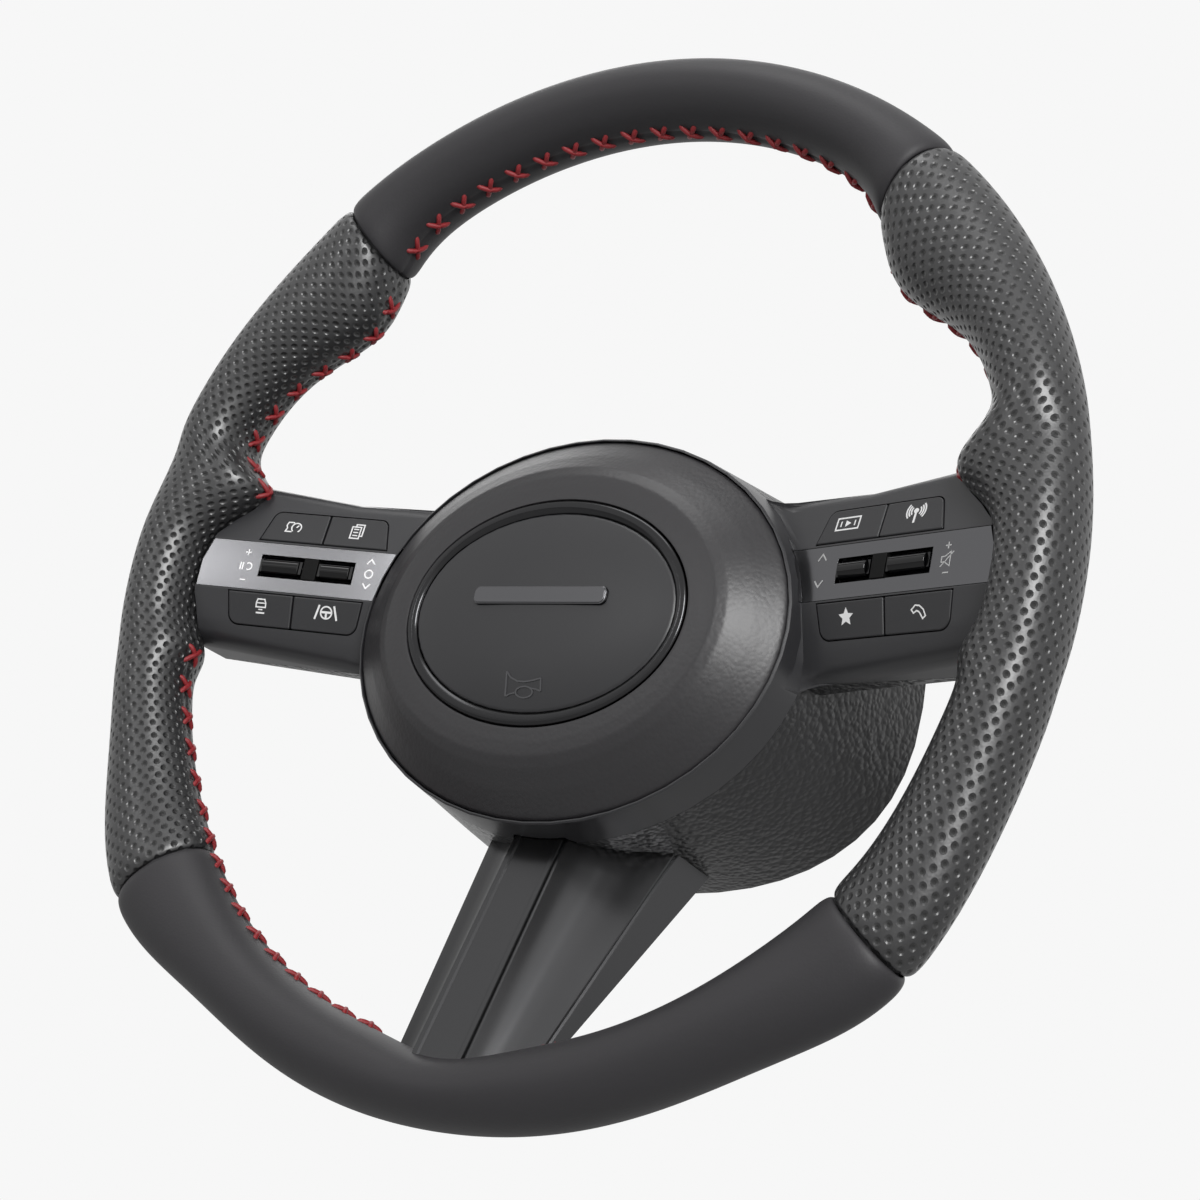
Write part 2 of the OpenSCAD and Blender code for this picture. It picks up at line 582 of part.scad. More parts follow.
// Barrel toggles on cradles, with the divider between them
barrel_r = 3.1;
barrel_y = 1.2;
toggle_in = [-17.3, -6.2];
toggle_out = [3, 17.3];
ear_t = 1;
ear_gap = 0.25;
pivot_r = 1;
cradle_y = 5;
module barrel(u0, u1, r)
    translate([u0, barrel_y, window_z]) rotate([0, 90, 0]) cylinder(r = r, h = u1 - u0, $fn = 48);
module toggle(side, r) color(gloss_col) on_face(side) {
    difference() {
        barrel(r[0], r[1], barrel_r);
        translate([r[0] - 1, barrel_y + 1.8, window_z - 5]) cube([r[1] - r[0] + 2, 5, 10]);
    }
    barrel(r[0] - ear_gap - ear_t, r[1] + ear_gap + ear_t, pivot_r);
}
module cradle(side, r) color(gloss_col) on_face(side)
    difference() {
        union() {
            translate([r[0] - ear_gap - ear_t, cradle_y, window_z - 3.6])
                cube([r[1] - r[0] + 2 * (ear_gap + ear_t), 1.6, 7.2]);
            for (u = [r[0] - ear_gap - ear_t, r[1] + ear_gap])
                translate([u, barrel_y - 1.8, window_z - 2.4]) cube([ear_t, cradle_y - barrel_y + 2, 4.8]);
        }
        barrel(r[0] - 5, r[1] + 5, pivot_r + 0.1);
    }
module divider(side) color(gloss_col) on_face(side)
    translate([-4.4, -0.7, window_z - window_h / 2 + 0.1]) cube([5.6, 7, window_h - 0.2]);
module toggle_inner_left() toggle(-1, toggle_in);
module toggle_outer_left() toggle(-1, toggle_out);
module toggle_inner_right() toggle(1, toggle_in);
module toggle_outer_right() toggle(1, toggle_out);
module cradle_inner_left() cradle(-1, toggle_in);
module cradle_outer_left() cradle(-1, toggle_out);
module cradle_inner_right() cradle(1, toggle_in);
module cradle_outer_right() cradle(1, toggle_out);
module toggle_divider_left() divider(-1);
module toggle_divider_right() divider(1);

// Housing behind the face, and the board with its rubber domes behind that
house_back = 11;
board_y = house_back + 0.2;
module house_section()
    polygon([
        [facet(25) + wall + 2.4, 25], [facet(22.6) + wall + 0.4, 22.6],
        [wall + 0.4, upper_at + 1.3], [wall + 2.4, upper_at + 0.3],
        [wall + 2.4, lower_at - 0.3], [wall + 0.4, lower_at - 1.3],
        [facet(-18.4) + wall + 0.4, -18.4], [facet(-21) + wall + 3.6, -21],
        [house_back, -21], [house_back, 25]]);
module dome_places(low)
    for (p = low ? [[-17, -6], [-5, -6], [10, -6], [21, -6]] : [[-21, 6], [-10, 6], [3, 6], [12, 6]])
        translate([p[0], 0, p[1]]) children();
module domes(side, r, y0, y1) {
    on_upper(side) dome_places(false) translate([0, y0, 0]) rotate([-90, 0, 0])
        cylinder(r = r, h = y1 - y0, $fn = 24);
    on_lower(side) dome_places(true) translate([0, y0, 0]) rotate([-90, 0, 0])
        cylinder(r = r, h = y1 - y0, $fn = 24);
}
module switch_housing(side) color("dimgray")
    difference() {
        on_side(side) intersection() {
            on_face(1) translate([-29.5, 0, 0]) rotate([0, 0, 90]) rotate([90, 0, 0])
                linear_extrude(60.5) house_section();
            end_outline(wall + 0.8);
        }
        on_upper(side) into_face(-6, 7.9) upper_field(0.4);
        on_lower(side) into_face(-6, 7.9) lower_field(0.4);
        on_face(side) window_block(-3, 8.2, 0.4);
        domes(side, 2.8, 5, 16);
    }
module switch_board(side) color("darkgreen") {
    on_side(side) intersection() {
        on_face(1) translate([-26, board_y, -20]) cube([54, 1.4, 44]);
        end_outline(wall + 3);
    }
    intersection() {
        domes(side, 2.2, button_deep + button_travel + 0.3, 16);
        on_face(side) translate([-40, 0, -30]) cube([80, board_y + 0.7, 60]);
    }
    on_face(side) translate([-22, board_y + 0.7, 13]) cube([12, 5, 7]);
}
module switch_housing_left() switch_housing(-1);
module switch_housing_right() switch_housing(1);
module switch_board_left() switch_board(-1);
module switch_board_right() switch_board(1);

/* Horn pad: airbag cover, emblem and the airbag module behind them */
skirt_end = 24;
emblem_floor = 0.3;
function cover_b_at(a) = a - 14.9 - 1.3 * pow(max(0, a - 60) / 24, 1.6) + 0.35 * bell(a, 64, 4, 8);
function cover_ring(a, d) = [cover_a - 84 + a, cover_b - 67.8 + cover_b_at(a), d, 2];
module airbag_cover() color(leather_col)
    union() {
        oval_wall([
            cover_ring(84, skirt_end), cover_ring(84, 13), cover_ring(83.5, 11.7), cover_ring(82, 10.4),
            cover_ring(75, 4.9), cover_ring(68.2, 0.1), cover_ring(64.5, -1.6), cover_ring(60, -2.3),
            [emblem_a + 0.3, emblem_b + 0.3, -2.6, 2], [emblem_a + 0.3, emblem_b + 0.3, emblem_floor, 2],
            [emblem_a - 1, emblem_b - 1, emblem_floor + wall, 2], cover_ring(66.6, 3.6),
            cover_ring(73.6, 8), cover_ring(79.4, 12.4), cover_ring(81.4, 14.8),
            cover_ring(81.4, skirt_end)]);
        oval_block(emblem_a - 0.5, emblem_b - 0.5, emblem_floor, emblem_floor + wall);
    }
module emblem_ring() color(dark_metal_col)
    let (a = emblem_a, b = emblem_b, w = ring_w, k = 0.65)
    oval_wall([
        [a, b, emblem_floor, 2], [a, b, -2.2, 2], [a - 0.6, b - 0.6, -3.1, 2],
        [a - w * 0.55, b - w * 0.55 - k / 2, -3.5, 2], [a - w + 0.3, b - w + 0.3 - k, -2.8, 2],
        [a - w, b - w - k, emblem_floor, 2]]);
bar_w = 52.4;
bar_h = 6.3;
bar_z = -13.5;
bar_floor = -3.8;
module bar_shape(inset) offset(r = 2.2 - inset, $fn = 24) square([bar_w - 4.4, bar_h - 4.4], center = true);
module bar_block(inset, d0, d1)
    translate([0, rim_y + d1, bar_z]) rotate([90, 0, 0]) linear_extrude(d1 - d0) bar_shape(inset);
module emblem_disc() color(gloss_col)
    let (a = emblem_a - ring_w - 0.15, b = emblem_b - ring_w - 0.8)
    difference() {
        loft([
            oval(a, b, emblem_floor), oval(a, b, -2.2), oval(a - 1, b - 1, -3), oval(a - 10.5, b - 9.5, -4.4),
            oval(a * 0.5, b * 0.5, -5.5), oval(a * 0.2, b * 0.2, -5.9)]);
        bar_block(-0.1, -8, bar_floor);
    }
module emblem_bar() color(satin_col)
    union() {
        bar_block(0, -6.5, bar_floor);
        bar_block(0.4, -6.9, bar_floor);
    }

inflator_z = -12;
inflator_r = 32;
plate_front = skirt_end;
plate_thick = 2;
module airbag_plate() color(steel_col)
    difference() {
        oval_block(cover_a - 1, cover_b - 1, plate_front, plate_front + plate_thick);
        post(0, inflator_z, inflator_r + 0.3, plate_front - 1, plate_front + plate_thick + 1);
    }
module airbag_inflator() color(steel_col)
    union() {
        post(0, inflator_z, inflator_r, 14, 36.5);
        post(0, inflator_z, inflator_r - 3, 12.5, 38);
        post(0, inflator_z, inflator_r + 4, plate_front + plate_thick, plate_front + plate_thick + 2);
    }
module airbag_cushion() color("whitesmoke")
    difference() {
        union() {
            oval_block(62, 45, 5.2, plate_front);
            oval_block(66, 49, 8, plate_front - 3);
        }
        post(0, inflator_z, inflator_r + 0.3, 12.2, plate_front + 1);
    }
pin_front = plate_front + plate_thick;
module horn_pins() color(steel_col)
    for (p = pin_places) {
        post(p[0], p[1], 6.5, pin_front, pin_front + 1.2);
        post(p[0], p[1], pin_r, pin_front, plate_d + plate_t + 2);
        post(p[0], p[1], 5, plate_d + plate_t + 0.2, plate_d + plate_t + 2.4);
    }
spring_r = 5;
wire_r = 0.7;
spring_turns = 2.5;
function coil(x, z, d0, d1) = [for (k = [0 : spring_turns * 8]) let (t = k * 45, c = k / (spring_turns * 8))
    [for (j = [0 : 3]) let (r = spring_r + wire_r * cos(j * 90), y = wire_r * sin(j * 90))
        [x + r * cos(t), rim_y + d0 + wire_r + (d1 - d0 - 2 * wire_r) * c + y, z + r * sin(t)]]];
module horn_springs() color(steel_col)
    for (p = pin_places) loft(coil(p[0], p[1], pin_front + 1.2, lug_d));

armature();
hub_insert();
rim_foam();
leather_top();
leather_grip_left();
leather_grip_right();
leather_bottom();
front_bezel();
rear_cover();
rear_cover_screws();
lower_spoke_trim();
lower_spoke_back();
trim_strip_left();
trim_strip_right();
switch_housing_left();
switch_housing_right();
switch_board_left();
switch_board_right();
upper_inner_button_left();
upper_outer_button_left();
lower_inner_button_left();
lower_outer_button_left();
upper_inner_button_right();
upper_outer_button_right();
lower_inner_button_right();
lower_outer_button_right();
toggle_inner_left();
toggle_outer_left();
toggle_inner_right();
toggle_outer_right();
cradle_inner_left();
cradle_outer_left();
cradle_inner_right();
cradle_outer_right();
toggle_divider_left();
toggle_divider_right();
airbag_cover();
emblem_ring();
emblem_disc();
emblem_bar();
airbag_plate();
airbag_inflator();
airbag_cushion();
horn_pins();
horn_springs();
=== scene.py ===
# %% [markdown]
# # Leather car steering wheel
#
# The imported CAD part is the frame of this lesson. Everything that shows is built on it here:
# smooth leather with its perforation and red cross stitches, a domed airbag cover, moulded
# plastics, plated trims and small pictograms. All lengths in the shape functions are in mm.

import bpy
import json
import math
import numpy as np
from mathutils import Matrix, Vector


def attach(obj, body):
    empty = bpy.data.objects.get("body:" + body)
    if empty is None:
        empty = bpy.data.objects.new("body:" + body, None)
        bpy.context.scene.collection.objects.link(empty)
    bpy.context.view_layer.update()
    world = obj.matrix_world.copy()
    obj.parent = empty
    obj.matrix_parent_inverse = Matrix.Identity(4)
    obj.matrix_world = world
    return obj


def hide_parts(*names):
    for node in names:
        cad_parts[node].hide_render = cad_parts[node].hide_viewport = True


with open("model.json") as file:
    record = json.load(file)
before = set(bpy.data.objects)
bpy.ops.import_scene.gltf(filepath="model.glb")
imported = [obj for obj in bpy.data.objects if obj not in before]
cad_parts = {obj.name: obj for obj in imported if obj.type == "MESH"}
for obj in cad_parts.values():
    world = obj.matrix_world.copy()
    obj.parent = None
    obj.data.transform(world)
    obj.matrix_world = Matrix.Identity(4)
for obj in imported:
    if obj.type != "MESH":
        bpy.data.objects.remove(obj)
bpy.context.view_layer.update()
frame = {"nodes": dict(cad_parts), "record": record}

# Each node's body and material slot, as the record gives them.
BODY_OF = {n: b for b, names in frame["record"]["behaviour"]["bodies"].items() for n in names}
SLOT_OF = {s["node"]: s["material_slot"] for s in frame["record"]["subparts"]}

# %% [markdown]
# ## Colours and node helpers
#
# A hex colour is given as it is seen on a screen, and one function turns it into linear light.
# Another adds a shader node with its settings and links in one call: a link named `i0` goes to
# the first input, and any other name is the name of the input.


# %% Helpers for materials
def linear(code):
    parts = [int(code[i : i + 2], 16) / 255 for i in (1, 3, 5)]
    return [c / 12.92 if c <= 0.04045 else ((c + 0.055) / 1.055) ** 2.4 for c in parts] + [1]


def add(tree, kind, settings=None, **links):
    node = tree.nodes.new("ShaderNode" + kind)
    for key, value in (settings or {}).items():
        if hasattr(node, key):
            setattr(node, key, value)
        else:
            node.inputs[key].default_value = value
    for key, source in links.items():
        numbered = key[0] == "i" and key[1:].isdigit()
        socket = node.inputs[int(key[1:]) if numbered else key]
        if isinstance(source, (int, float, list, tuple)):
            socket.default_value = source
        else:
            tree.links.new(source, socket)
    return node


def new_material(name, code, rough, metal=0.0, **extra):
    mat = bpy.data.materials.new(name)
    mat.use_nodes = True
    tree = mat.node_tree
    shader = tree.nodes["Principled BSDF"]
    shader.inputs["Base Color"].default_value = linear(code)
    shader.inputs["Roughness"].default_value = rough
    shader.inputs["Metallic"].default_value = metal
    for key, value in extra.items():
        shader.inputs[key.replace("_", " ")].default_value = value
    mat.diffuse_color = linear(code)
    return mat, tree, shader


def maths(tree, operation, a, b=None):
    links = {"i0": a}
    if b is not None:
        links["i1"] = b
    return add(tree, "Math", {"operation": operation}, **links).outputs[0]


def bump(tree, shader, height, distance, strength=1.0, normal=None):
    node = add(tree, "Bump", {"Distance": distance, "Strength": strength}, Height=height)
    if normal is not None:
        tree.links.new(normal, node.inputs["Normal"])
    tree.links.new(node.outputs[0], shader.inputs["Normal"])


def tint(tree, shader, code_a, code_b, factor):
    mix = add(tree, "Mix", {"data_type": "RGBA"}, i0=factor)
    mix.inputs[6].default_value = linear(code_a)
    mix.inputs[7].default_value = linear(code_b)
    tree.links.new(mix.outputs[2], shader.inputs["Base Color"])


def vary(tree, shader, low, high, factor):
    span = add(tree, "MapRange", {"To Min": low, "To Max": high}, Value=factor)
    tree.links.new(span.outputs[0], shader.inputs["Roughness"])


def place_of(tree):
    return add(tree, "TexCoord").outputs["Object"]


print("screen grey #808080 is", round(linear("#808080")[0], 3), "of white in linear light")

# %% [markdown]
# ## Leather
#
# Fine pores of about 1 mm lie over broader folds of about 2 mm. The grips are pierced too: a
# grid of small dimples, each second row shifted by half a step, with painted shade in each
# hole. Their texture coordinates are real lengths on the rim, so the holes stay round.

# %% Leather
HOLES_ALONG, HOLES_ACROSS = 5.3, 4.6  # mm from hole to hole
ALONG_SQUARED, ACROSS_SQUARED = 28.1, 21.2  # their squares, which turn steps back into mm
# The third grey is painted shade inside each perforation hole.
SMOOTH_GREY, GRIP_GREY, HOLE_SHADE_GREY = "#2c2b2d", "#1b1b1c", "#060606"


def hole_distance(tree):
    """Distance in mm from the middle of the nearest hole."""
    uv = add(tree, "UVMap", {"uv_map": "skin"})
    split = add(tree, "SeparateXYZ", Vector=uv.outputs[0])
    along = maths(tree, "MULTIPLY", split.outputs[0], 1000 / HOLES_ALONG)
    across = maths(tree, "MULTIPLY", split.outputs[1], 1000 / HOLES_ACROSS)
    grids = []
    for shift in (0.0, 0.5):
        u = maths(tree, "SUBTRACT", maths(tree, "FRACT", maths(tree, "ADD", along, shift)), 0.5)
        v = maths(tree, "SUBTRACT", maths(tree, "FRACT", maths(tree, "ADD", across, shift)), 0.5)
        u2 = maths(tree, "MULTIPLY", maths(tree, "MULTIPLY", u, u), ALONG_SQUARED)
        v2 = maths(tree, "MULTIPLY", maths(tree, "MULTIPLY", v, v), ACROSS_SQUARED)
        grids.append(maths(tree, "SQRT", maths(tree, "ADD", u2, v2)))
    return maths(tree, "MINIMUM", *grids)


def leather(name, code, shine, rough):
    mat, tree, shader = new_material(name, code, 0.5, Specular_IOR_Level=shine)
    where = place_of(tree)
    pores = add(tree, "TexVoronoi", {"Scale": 1100, "feature": "F1"}, Vector=where)
    folds = add(tree, "TexNoise", {"Scale": 420, "Detail": 4}, Vector=where)
    broad = add(tree, "TexNoise", {"Scale": 22, "Detail": 2}, Vector=where)
    soft_folds = maths(tree, "MULTIPLY", folds.outputs[0], 0.9)
    skin = maths(tree, "ADD", pores.outputs["Distance"], soft_folds)
    vary(tree, shader, *rough, broad.outputs[0])
    bump(tree, shader, skin, 0.00004, 0.55)
    return mat


def pierce(mat, code):
    """Add the holes to a leather of this colour, with painted shade inside them."""
    tree = mat.node_tree
    shader = tree.nodes["Principled BSDF"]
    fine = shader.inputs["Normal"].links[0].from_socket
    plain_rough = shader.inputs["Roughness"].links[0].from_socket
    nearest = hole_distance(tree)
    dimple = add(tree, "MapRange", {"From Min": 0.0, "From Max": 1.25}, Value=nearest)
    rim = {"From Min": 0.5, "From Max": 0.8, "interpolation_type": "SMOOTHSTEP"}
    outside = add(tree, "MapRange", rim, Value=nearest).outputs[0]
    bump(tree, shader, dimple.outputs[0], 0.0009, 1.0, fine)
    # The holes are tinted near-black: painted shade in each hole.
    tint(tree, shader, HOLE_SHADE_GREY, code, outside)
    hole_rough = maths(tree, "MULTIPLY", maths(tree, "SUBTRACT", 1.0, outside), 0.5)
    tree.links.new(maths(tree, "ADD", plain_rough, hole_rough), shader.inputs["Roughness"])


smooth_skin = leather("Smooth dark grey leather", SMOOTH_GREY, 0.3, (0.46, 0.58))
pierced_skin = leather("Perforated dark grey leather", GRIP_GREY, 0.8, (0.33, 0.41))
pierce(pierced_skin, GRIP_GREY)
print("leather nodes:", len(smooth_skin.node_tree.nodes), "smooth,",
      len(pierced_skin.node_tree.nodes), "perforated")

# %% [markdown]
# ## Plastics and metals
#
# Every finish has its real scale: pebble grain of about 2 mm, fine moulded grain of 0.4 mm,
# brushing lines of 0.15 mm. Roughness drifts a little from place to place, as on real parts.


# %% Plastics and metals
def plastic(name, code, rough, grain, depth, kind="noise", **extra):
    mat, tree, shader = new_material(name, code, rough, **extra)
    where = place_of(tree)
    if kind == "pebble":
        soft = add(tree, "TexNoise", {"Scale": 140, "Detail": 2}, Vector=where)
        scale = {"operation": "SCALE", "Scale": 0.0016}
        shift = add(tree, "VectorMath", scale, i0=soft.outputs["Color"])
        moved = add(tree, "VectorMath", {"operation": "ADD"}, i0=where, i1=shift.outputs[0])
        cell = {"Scale": grain, "feature": "SMOOTH_F1", "Smoothness": 0.35}
        cells = add(tree, "TexVoronoi", cell, Vector=moved.outputs[0])
        height = maths(tree, "SUBTRACT", 1.0, cells.outputs["Distance"])
    else:
        height = add(tree, "TexNoise", {"Scale": grain, "Detail": 3}, Vector=where).outputs[0]
    broad = add(tree, "TexNoise", {"Scale": 30, "Detail": 3}, Vector=where)
    vary(tree, shader, rough - 0.04, rough + 0.05, broad.outputs[0])
    bump(tree, shader, height, depth)
    return mat


def metal(name, code, rough, stretch=(1, 1, 60), depth=0.0000002, **extra):
    mat, tree, shader = new_material(name, code, rough, 1.0, **extra)
    where = place_of(tree)
    squeezed = add(tree, "VectorMath", {"operation": "MULTIPLY"}, i0=where, i1=stretch)
    lines = add(tree, "TexNoise", {"Scale": 120, "Detail": 4}, Vector=squeezed.outputs[0])
    smears = add(tree, "TexNoise", {"Scale": 35, "Detail": 3}, Vector=where)
    vary(tree, shader, rough - 0.02, rough + 0.04, smears.outputs[0])
    bump(tree, shader, lines.outputs[0], depth)
    return mat


FINE, PEBBLE_COVER, PEBBLE_BACK = 2600, 620, 470  # texture scales, in features per metre
MATS = {
    "smooth_leather": smooth_skin,
    "perforated_leather": pierced_skin,
    "cover_plastic": plastic("Soft-touch airbag cover", "#222123", 0.38, PEBBLE_COVER, 0.00005,
                             "pebble"),
    "bezel_plastic": plastic("Satin moulded plastic", "#29292b", 0.36, FINE, 0.000008),
    "grained_plastic": plastic("Pebble-grained plastic", "#232324", 0.33, PEBBLE_BACK, 0.0006,
                               "pebble", Specular_IOR_Level=0.4),
    "button_plastic": plastic("Matt soft-touch buttons", "#1f1f21", 0.42, FINE, 0.000008),
    "gloss_black": plastic("Gloss black plastic", "#040405", 0.06, 90, 0.000002,
                           Specular_IOR_Level=0.35),
    "emblem_plastic": plastic("Satin black emblem disc", "#1d1d1f", 0.4, FINE, 0.000006),
    "housing_plastic": plastic("Plain black nylon", "#242425", 0.5, 900, 0.00001),
    "satin_silver": metal("Dark silver satin plating", "#606062", 0.18),
    "dark_satin_metal": metal("Dark satin metallic paint", "#4b4b4c", 0.24,
                              Specular_Tint=linear("#bcbcbc")),
    "dark_chrome": metal("Dark satin chrome", "#39393a", 0.16),
    "casting": metal("Die-cast light alloy", "#a9aaab", 0.48, (1, 1, 1), 0.00004),
    "steel": metal("Zinc-plated steel", "#9a9b9e", 0.3),
    "inflator_metal": metal("Stamped inflator steel", "#8e8f92", 0.34, (60, 1, 1)),
    "foam": plastic("Moulded polyurethane foam", "#3a3a3b", 0.8, 900, 0.00008),
    "board": plastic("Green circuit board", "#1d4a30", 0.35, 400, 0.00001),
    "airbag_fabric": plastic("Woven airbag nylon", "#d9d9d4", 0.85, 1500, 0.0001),
}
ICON = new_material("Printed light grey pictograms", "#d6d6d6", 0.5)[0]
ICON_WHITE = new_material("Printed white strip marks", "#f2f2f2", 0.5)[0]
ICON_GREY = new_material("Printed mid grey pictograms", "#a2a2a2", 0.5)[0]
SIGN = plastic("Raised satin plastic sign", "#3c3c3e", 0.3, FINE, 0.000006)
# Black plastic, made near-black as painted shade of the divider's ribs, which are not modelled.
DIVIDER = plastic("Black plastic with painted rib shade", "#060606", 0.6, FINE, 0.00002, Specular_IOR_Level=0.15)
THREAD = plastic("Red polyester thread", "#7d161c", 0.55, 2200, 0.00008)
print(len(MATS), "materials for the slots, 6 more for prints, sign, divider and thread")

# %% [markdown]
# ## Mesh helpers
#
# A grid of points becomes a smooth-shaded skin that closes round its columns. Each new piece
# rides the body and has the slot of the node it replaces.


# %% Mesh helpers
def to_frame(points):
    """From the mm of the shape functions to the frame's metres."""
    return np.asarray(points, float) / 1000


def link_mesh(name, verts, faces):
    mesh = bpy.data.meshes.new(name)
    mesh.from_pydata(to_frame(verts).tolist(), [], faces)
    piece = bpy.data.objects.new(name, mesh)
    bpy.context.collection.objects.link(piece)
    return piece


def grid_mesh(name, grid, closed_rows=False, uv=None):
    rows, cols = grid.shape[:2]
    cells = [(i, j) for i in range(rows if closed_rows else rows - 1) for j in range(cols)]
    faces = []
    for i, j in cells:
        i2, j2 = (i + 1) % rows, (j + 1) % cols
        faces.append((i * cols + j, i * cols + j2, i2 * cols + j2, i2 * cols + j))
    piece = link_mesh(name, grid.reshape(-1, 3), faces)
    if uv is not None:
        corners = [uv[a, b] for i, j in cells
                   for a, b in ((i, j), (i, j + 1), (i + 1, j + 1), (i + 1, j))]
        layer = piece.data.uv_layers.new(name="skin")
        layer.data.foreach_set("uv", np.array(corners).ravel().tolist())
    return piece


def only(piece):
    bpy.ops.object.select_all(action="DESELECT")
    piece.select_set(True)
    bpy.context.view_layer.objects.active = piece


def outward(piece, angle):
    only(piece)
    bpy.ops.object.mode_set(mode="EDIT")
    bpy.ops.mesh.select_all(action="SELECT")
    bpy.ops.mesh.normals_make_consistent(inside=False)
    bpy.ops.object.mode_set(mode="OBJECT")
    bpy.ops.object.shade_smooth_by_angle(angle=math.radians(angle))


def apply(piece, kind, **settings):
    only(piece)
    mod = piece.modifiers.new(kind.lower(), kind)
    for key, value in settings.items():
        setattr(mod, key, value)
    bpy.ops.object.modifier_apply(modifier=mod.name)


def stand_in(piece, node):
    """Let the piece take the place of one CAD node."""
    piece.data.materials.clear()
    piece.data.materials.append(MATS[SLOT_OF[node]])
    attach(piece, BODY_OF[node])
    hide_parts(node)


print("10 mm in the shape functions is", float(to_frame(10)), "m in the frame")

# %% [markdown]
# ## Soft edges
#
# A copy of a CAD node gets soft edges. Its triangles are first merged into whole faces so that
# the bevel runs cleanly.

# %% Soft edges
MERGE_M, FLAT_DEG = 0.00002, 0.6  # points this close are one, faces this even are one


def dress(node, bevel, angle, segments=2):
    source = frame["nodes"][node]
    piece = source.copy()
    piece.data = source.data.copy()
    piece.name = node + "_looks"
    piece.parent = None
    bpy.context.collection.objects.link(piece)
    only(piece)
    bpy.ops.object.mode_set(mode="EDIT")
    bpy.ops.mesh.select_all(action="SELECT")
    bpy.ops.mesh.remove_doubles(threshold=MERGE_M)
    bpy.ops.mesh.dissolve_limited(angle_limit=math.radians(FLAT_DEG))
    bpy.ops.object.mode_set(mode="OBJECT")
    apply(piece, "BEVEL", width=bevel / 1000, segments=segments, limit_method="ANGLE",
          angle_limit=math.radians(angle), harden_normals=False, use_clamp_overlap=True)
    bpy.ops.object.shade_smooth_by_angle(angle=math.radians(angle))
    apply(piece, "WEIGHTED_NORMAL", keep_sharp=True)
    stand_in(piece, node)
    return piece


print("points closer than", MERGE_M * 1000, "mm are merged before a bevel")

# %% [markdown]
# ## The rim
#
# The same functions as in the CAD source give the rim's outer and inner edges, its depth and its
# twist at each angle from twelve o'clock. A bell is a smooth local bulge with its own width
# before and after its middle.

# %% Rim shape
RIM_Y, HUB_DROP = -60.0, 18.0  # the rim's plane, and how far the hub's middle lies below the rim's
SEAM_TOP, SEAM_LOW = 40.4, 130.6  # angles of the seams between smooth and perforated leather
GRIP = 27  # width of the plain rim


def bell(t, mid, before, after):
    w = np.where(t < mid, before, after)
    return np.exp(-(((t - mid) / w) ** 2))


def fold(t):
    """Angle from twelve o'clock on either side, 0 to 180."""
    a = np.abs(t) % 360
    return np.where(a > 180, 360 - a, a)


def round_edge(f):
    return 185 + 5 * np.cos(np.radians(f)) ** 2


def rim_section(t):
    f = fold(t)
    thumb_rests = 15.5 * bell(f, 48, 9, 11.5) + 15.5 * bell(f, 77.5, 3.2, 6)
    below_spoke = 3.5 * bell(f, 101.5, 3, 2.5)
    notch = 3.8 * bell(f, 180, 8.5, 8.5)
    width = GRIP + thumb_rests + below_spoke - notch
    inner = round_edge(f) - width
    corner = 11.5 * bell(f, 131, 15, 12)
    flat = 0.58 * bell(f, 180, 12, 12)  # keeps the bottom inside the CAD's faceted outline
    outer = round_edge(f) + corner - flat
    half = 16.7 + 1.5 * bell(f, 48, 12, 12) - 2.6 * bell(f, 126, 22, 18)
    turn = -22 * bell(f, 122, 18, 16)
    return outer, inner, half, turn


def rim_points(t, phi, inset):
    outer, inner, half, turn = rim_section(t)
    u = ((outer - inner) / 2 - inset) * np.cos(np.radians(phi))
    v = (half - inset) * np.sin(np.radians(phi))
    w = np.radians(turn)
    r = (outer + inner) / 2 + u * np.cos(w) - v * np.sin(w)
    bulge = np.maximum(0, (round_edge(fold(t)) - inner) - GRIP)
    back = 0.24 * bulge * (1 - np.cos(np.radians(phi))) / 2
    y = RIM_Y + u * np.sin(w) + v * np.cos(w) + back
    s, c = np.sin(np.radians(t)), np.cos(np.radians(t))
    return np.stack([r * s, y, r * c], -1)


def stitch_line(t):
    """Angle round the section at which crease and stitches run."""
    f = fold(t)
    return 183 - 23 * bell(f, 57, 19, 19) - 11 * bell(f, 165, 24, 24)


for angle in (0, 48, 110, 180):
    outer, inner, *_ = rim_section(np.array(angle))
    print("rim width at", angle, "degrees:", round(float(outer - inner), 1), "mm")

# %% [markdown]
# ## Leather tubes
#
# Each leather piece is a tube between two seams. Its ends roll down into the seam groove, and a
# fine crease runs along the inner edge, under the stitches. The texture coordinates are real
# lengths along and around the rim, with a whole number of hole rows around it.

# %% Leather tubes
AROUND = 96  # points round the section
SEAM_GAP = 0.12  # degrees left free at each end
END_STEPS = np.array([0, 0.05, 0.12, 0.22, 0.36, 0.55, 0.8, 1.1, 1.5, 2.0])
END_DEEP = 2.2  # how far the end is tucked in
MEAN_RADIUS = 0.172  # metres, for the length along the rim


def skin_uv(grid, t):
    along = np.concatenate([[t[0]], t, [t[-1]]]) * math.radians(1) * MEAN_RADIUS
    loop = np.concatenate([grid, grid[:, :1]], 1)
    lengths = np.linalg.norm(np.diff(loop, axis=1), axis=2) / 1000
    around = np.concatenate([np.zeros((len(grid), 1)), np.cumsum(lengths, 1)], 1)
    whole = around[:, -1:]
    pitch = HOLES_ACROSS / 1000
    across = around / whole * np.round(np.median(whole) / pitch) * pitch
    return np.stack([np.repeat(along[:, None], AROUND + 1, 1), across], -1)


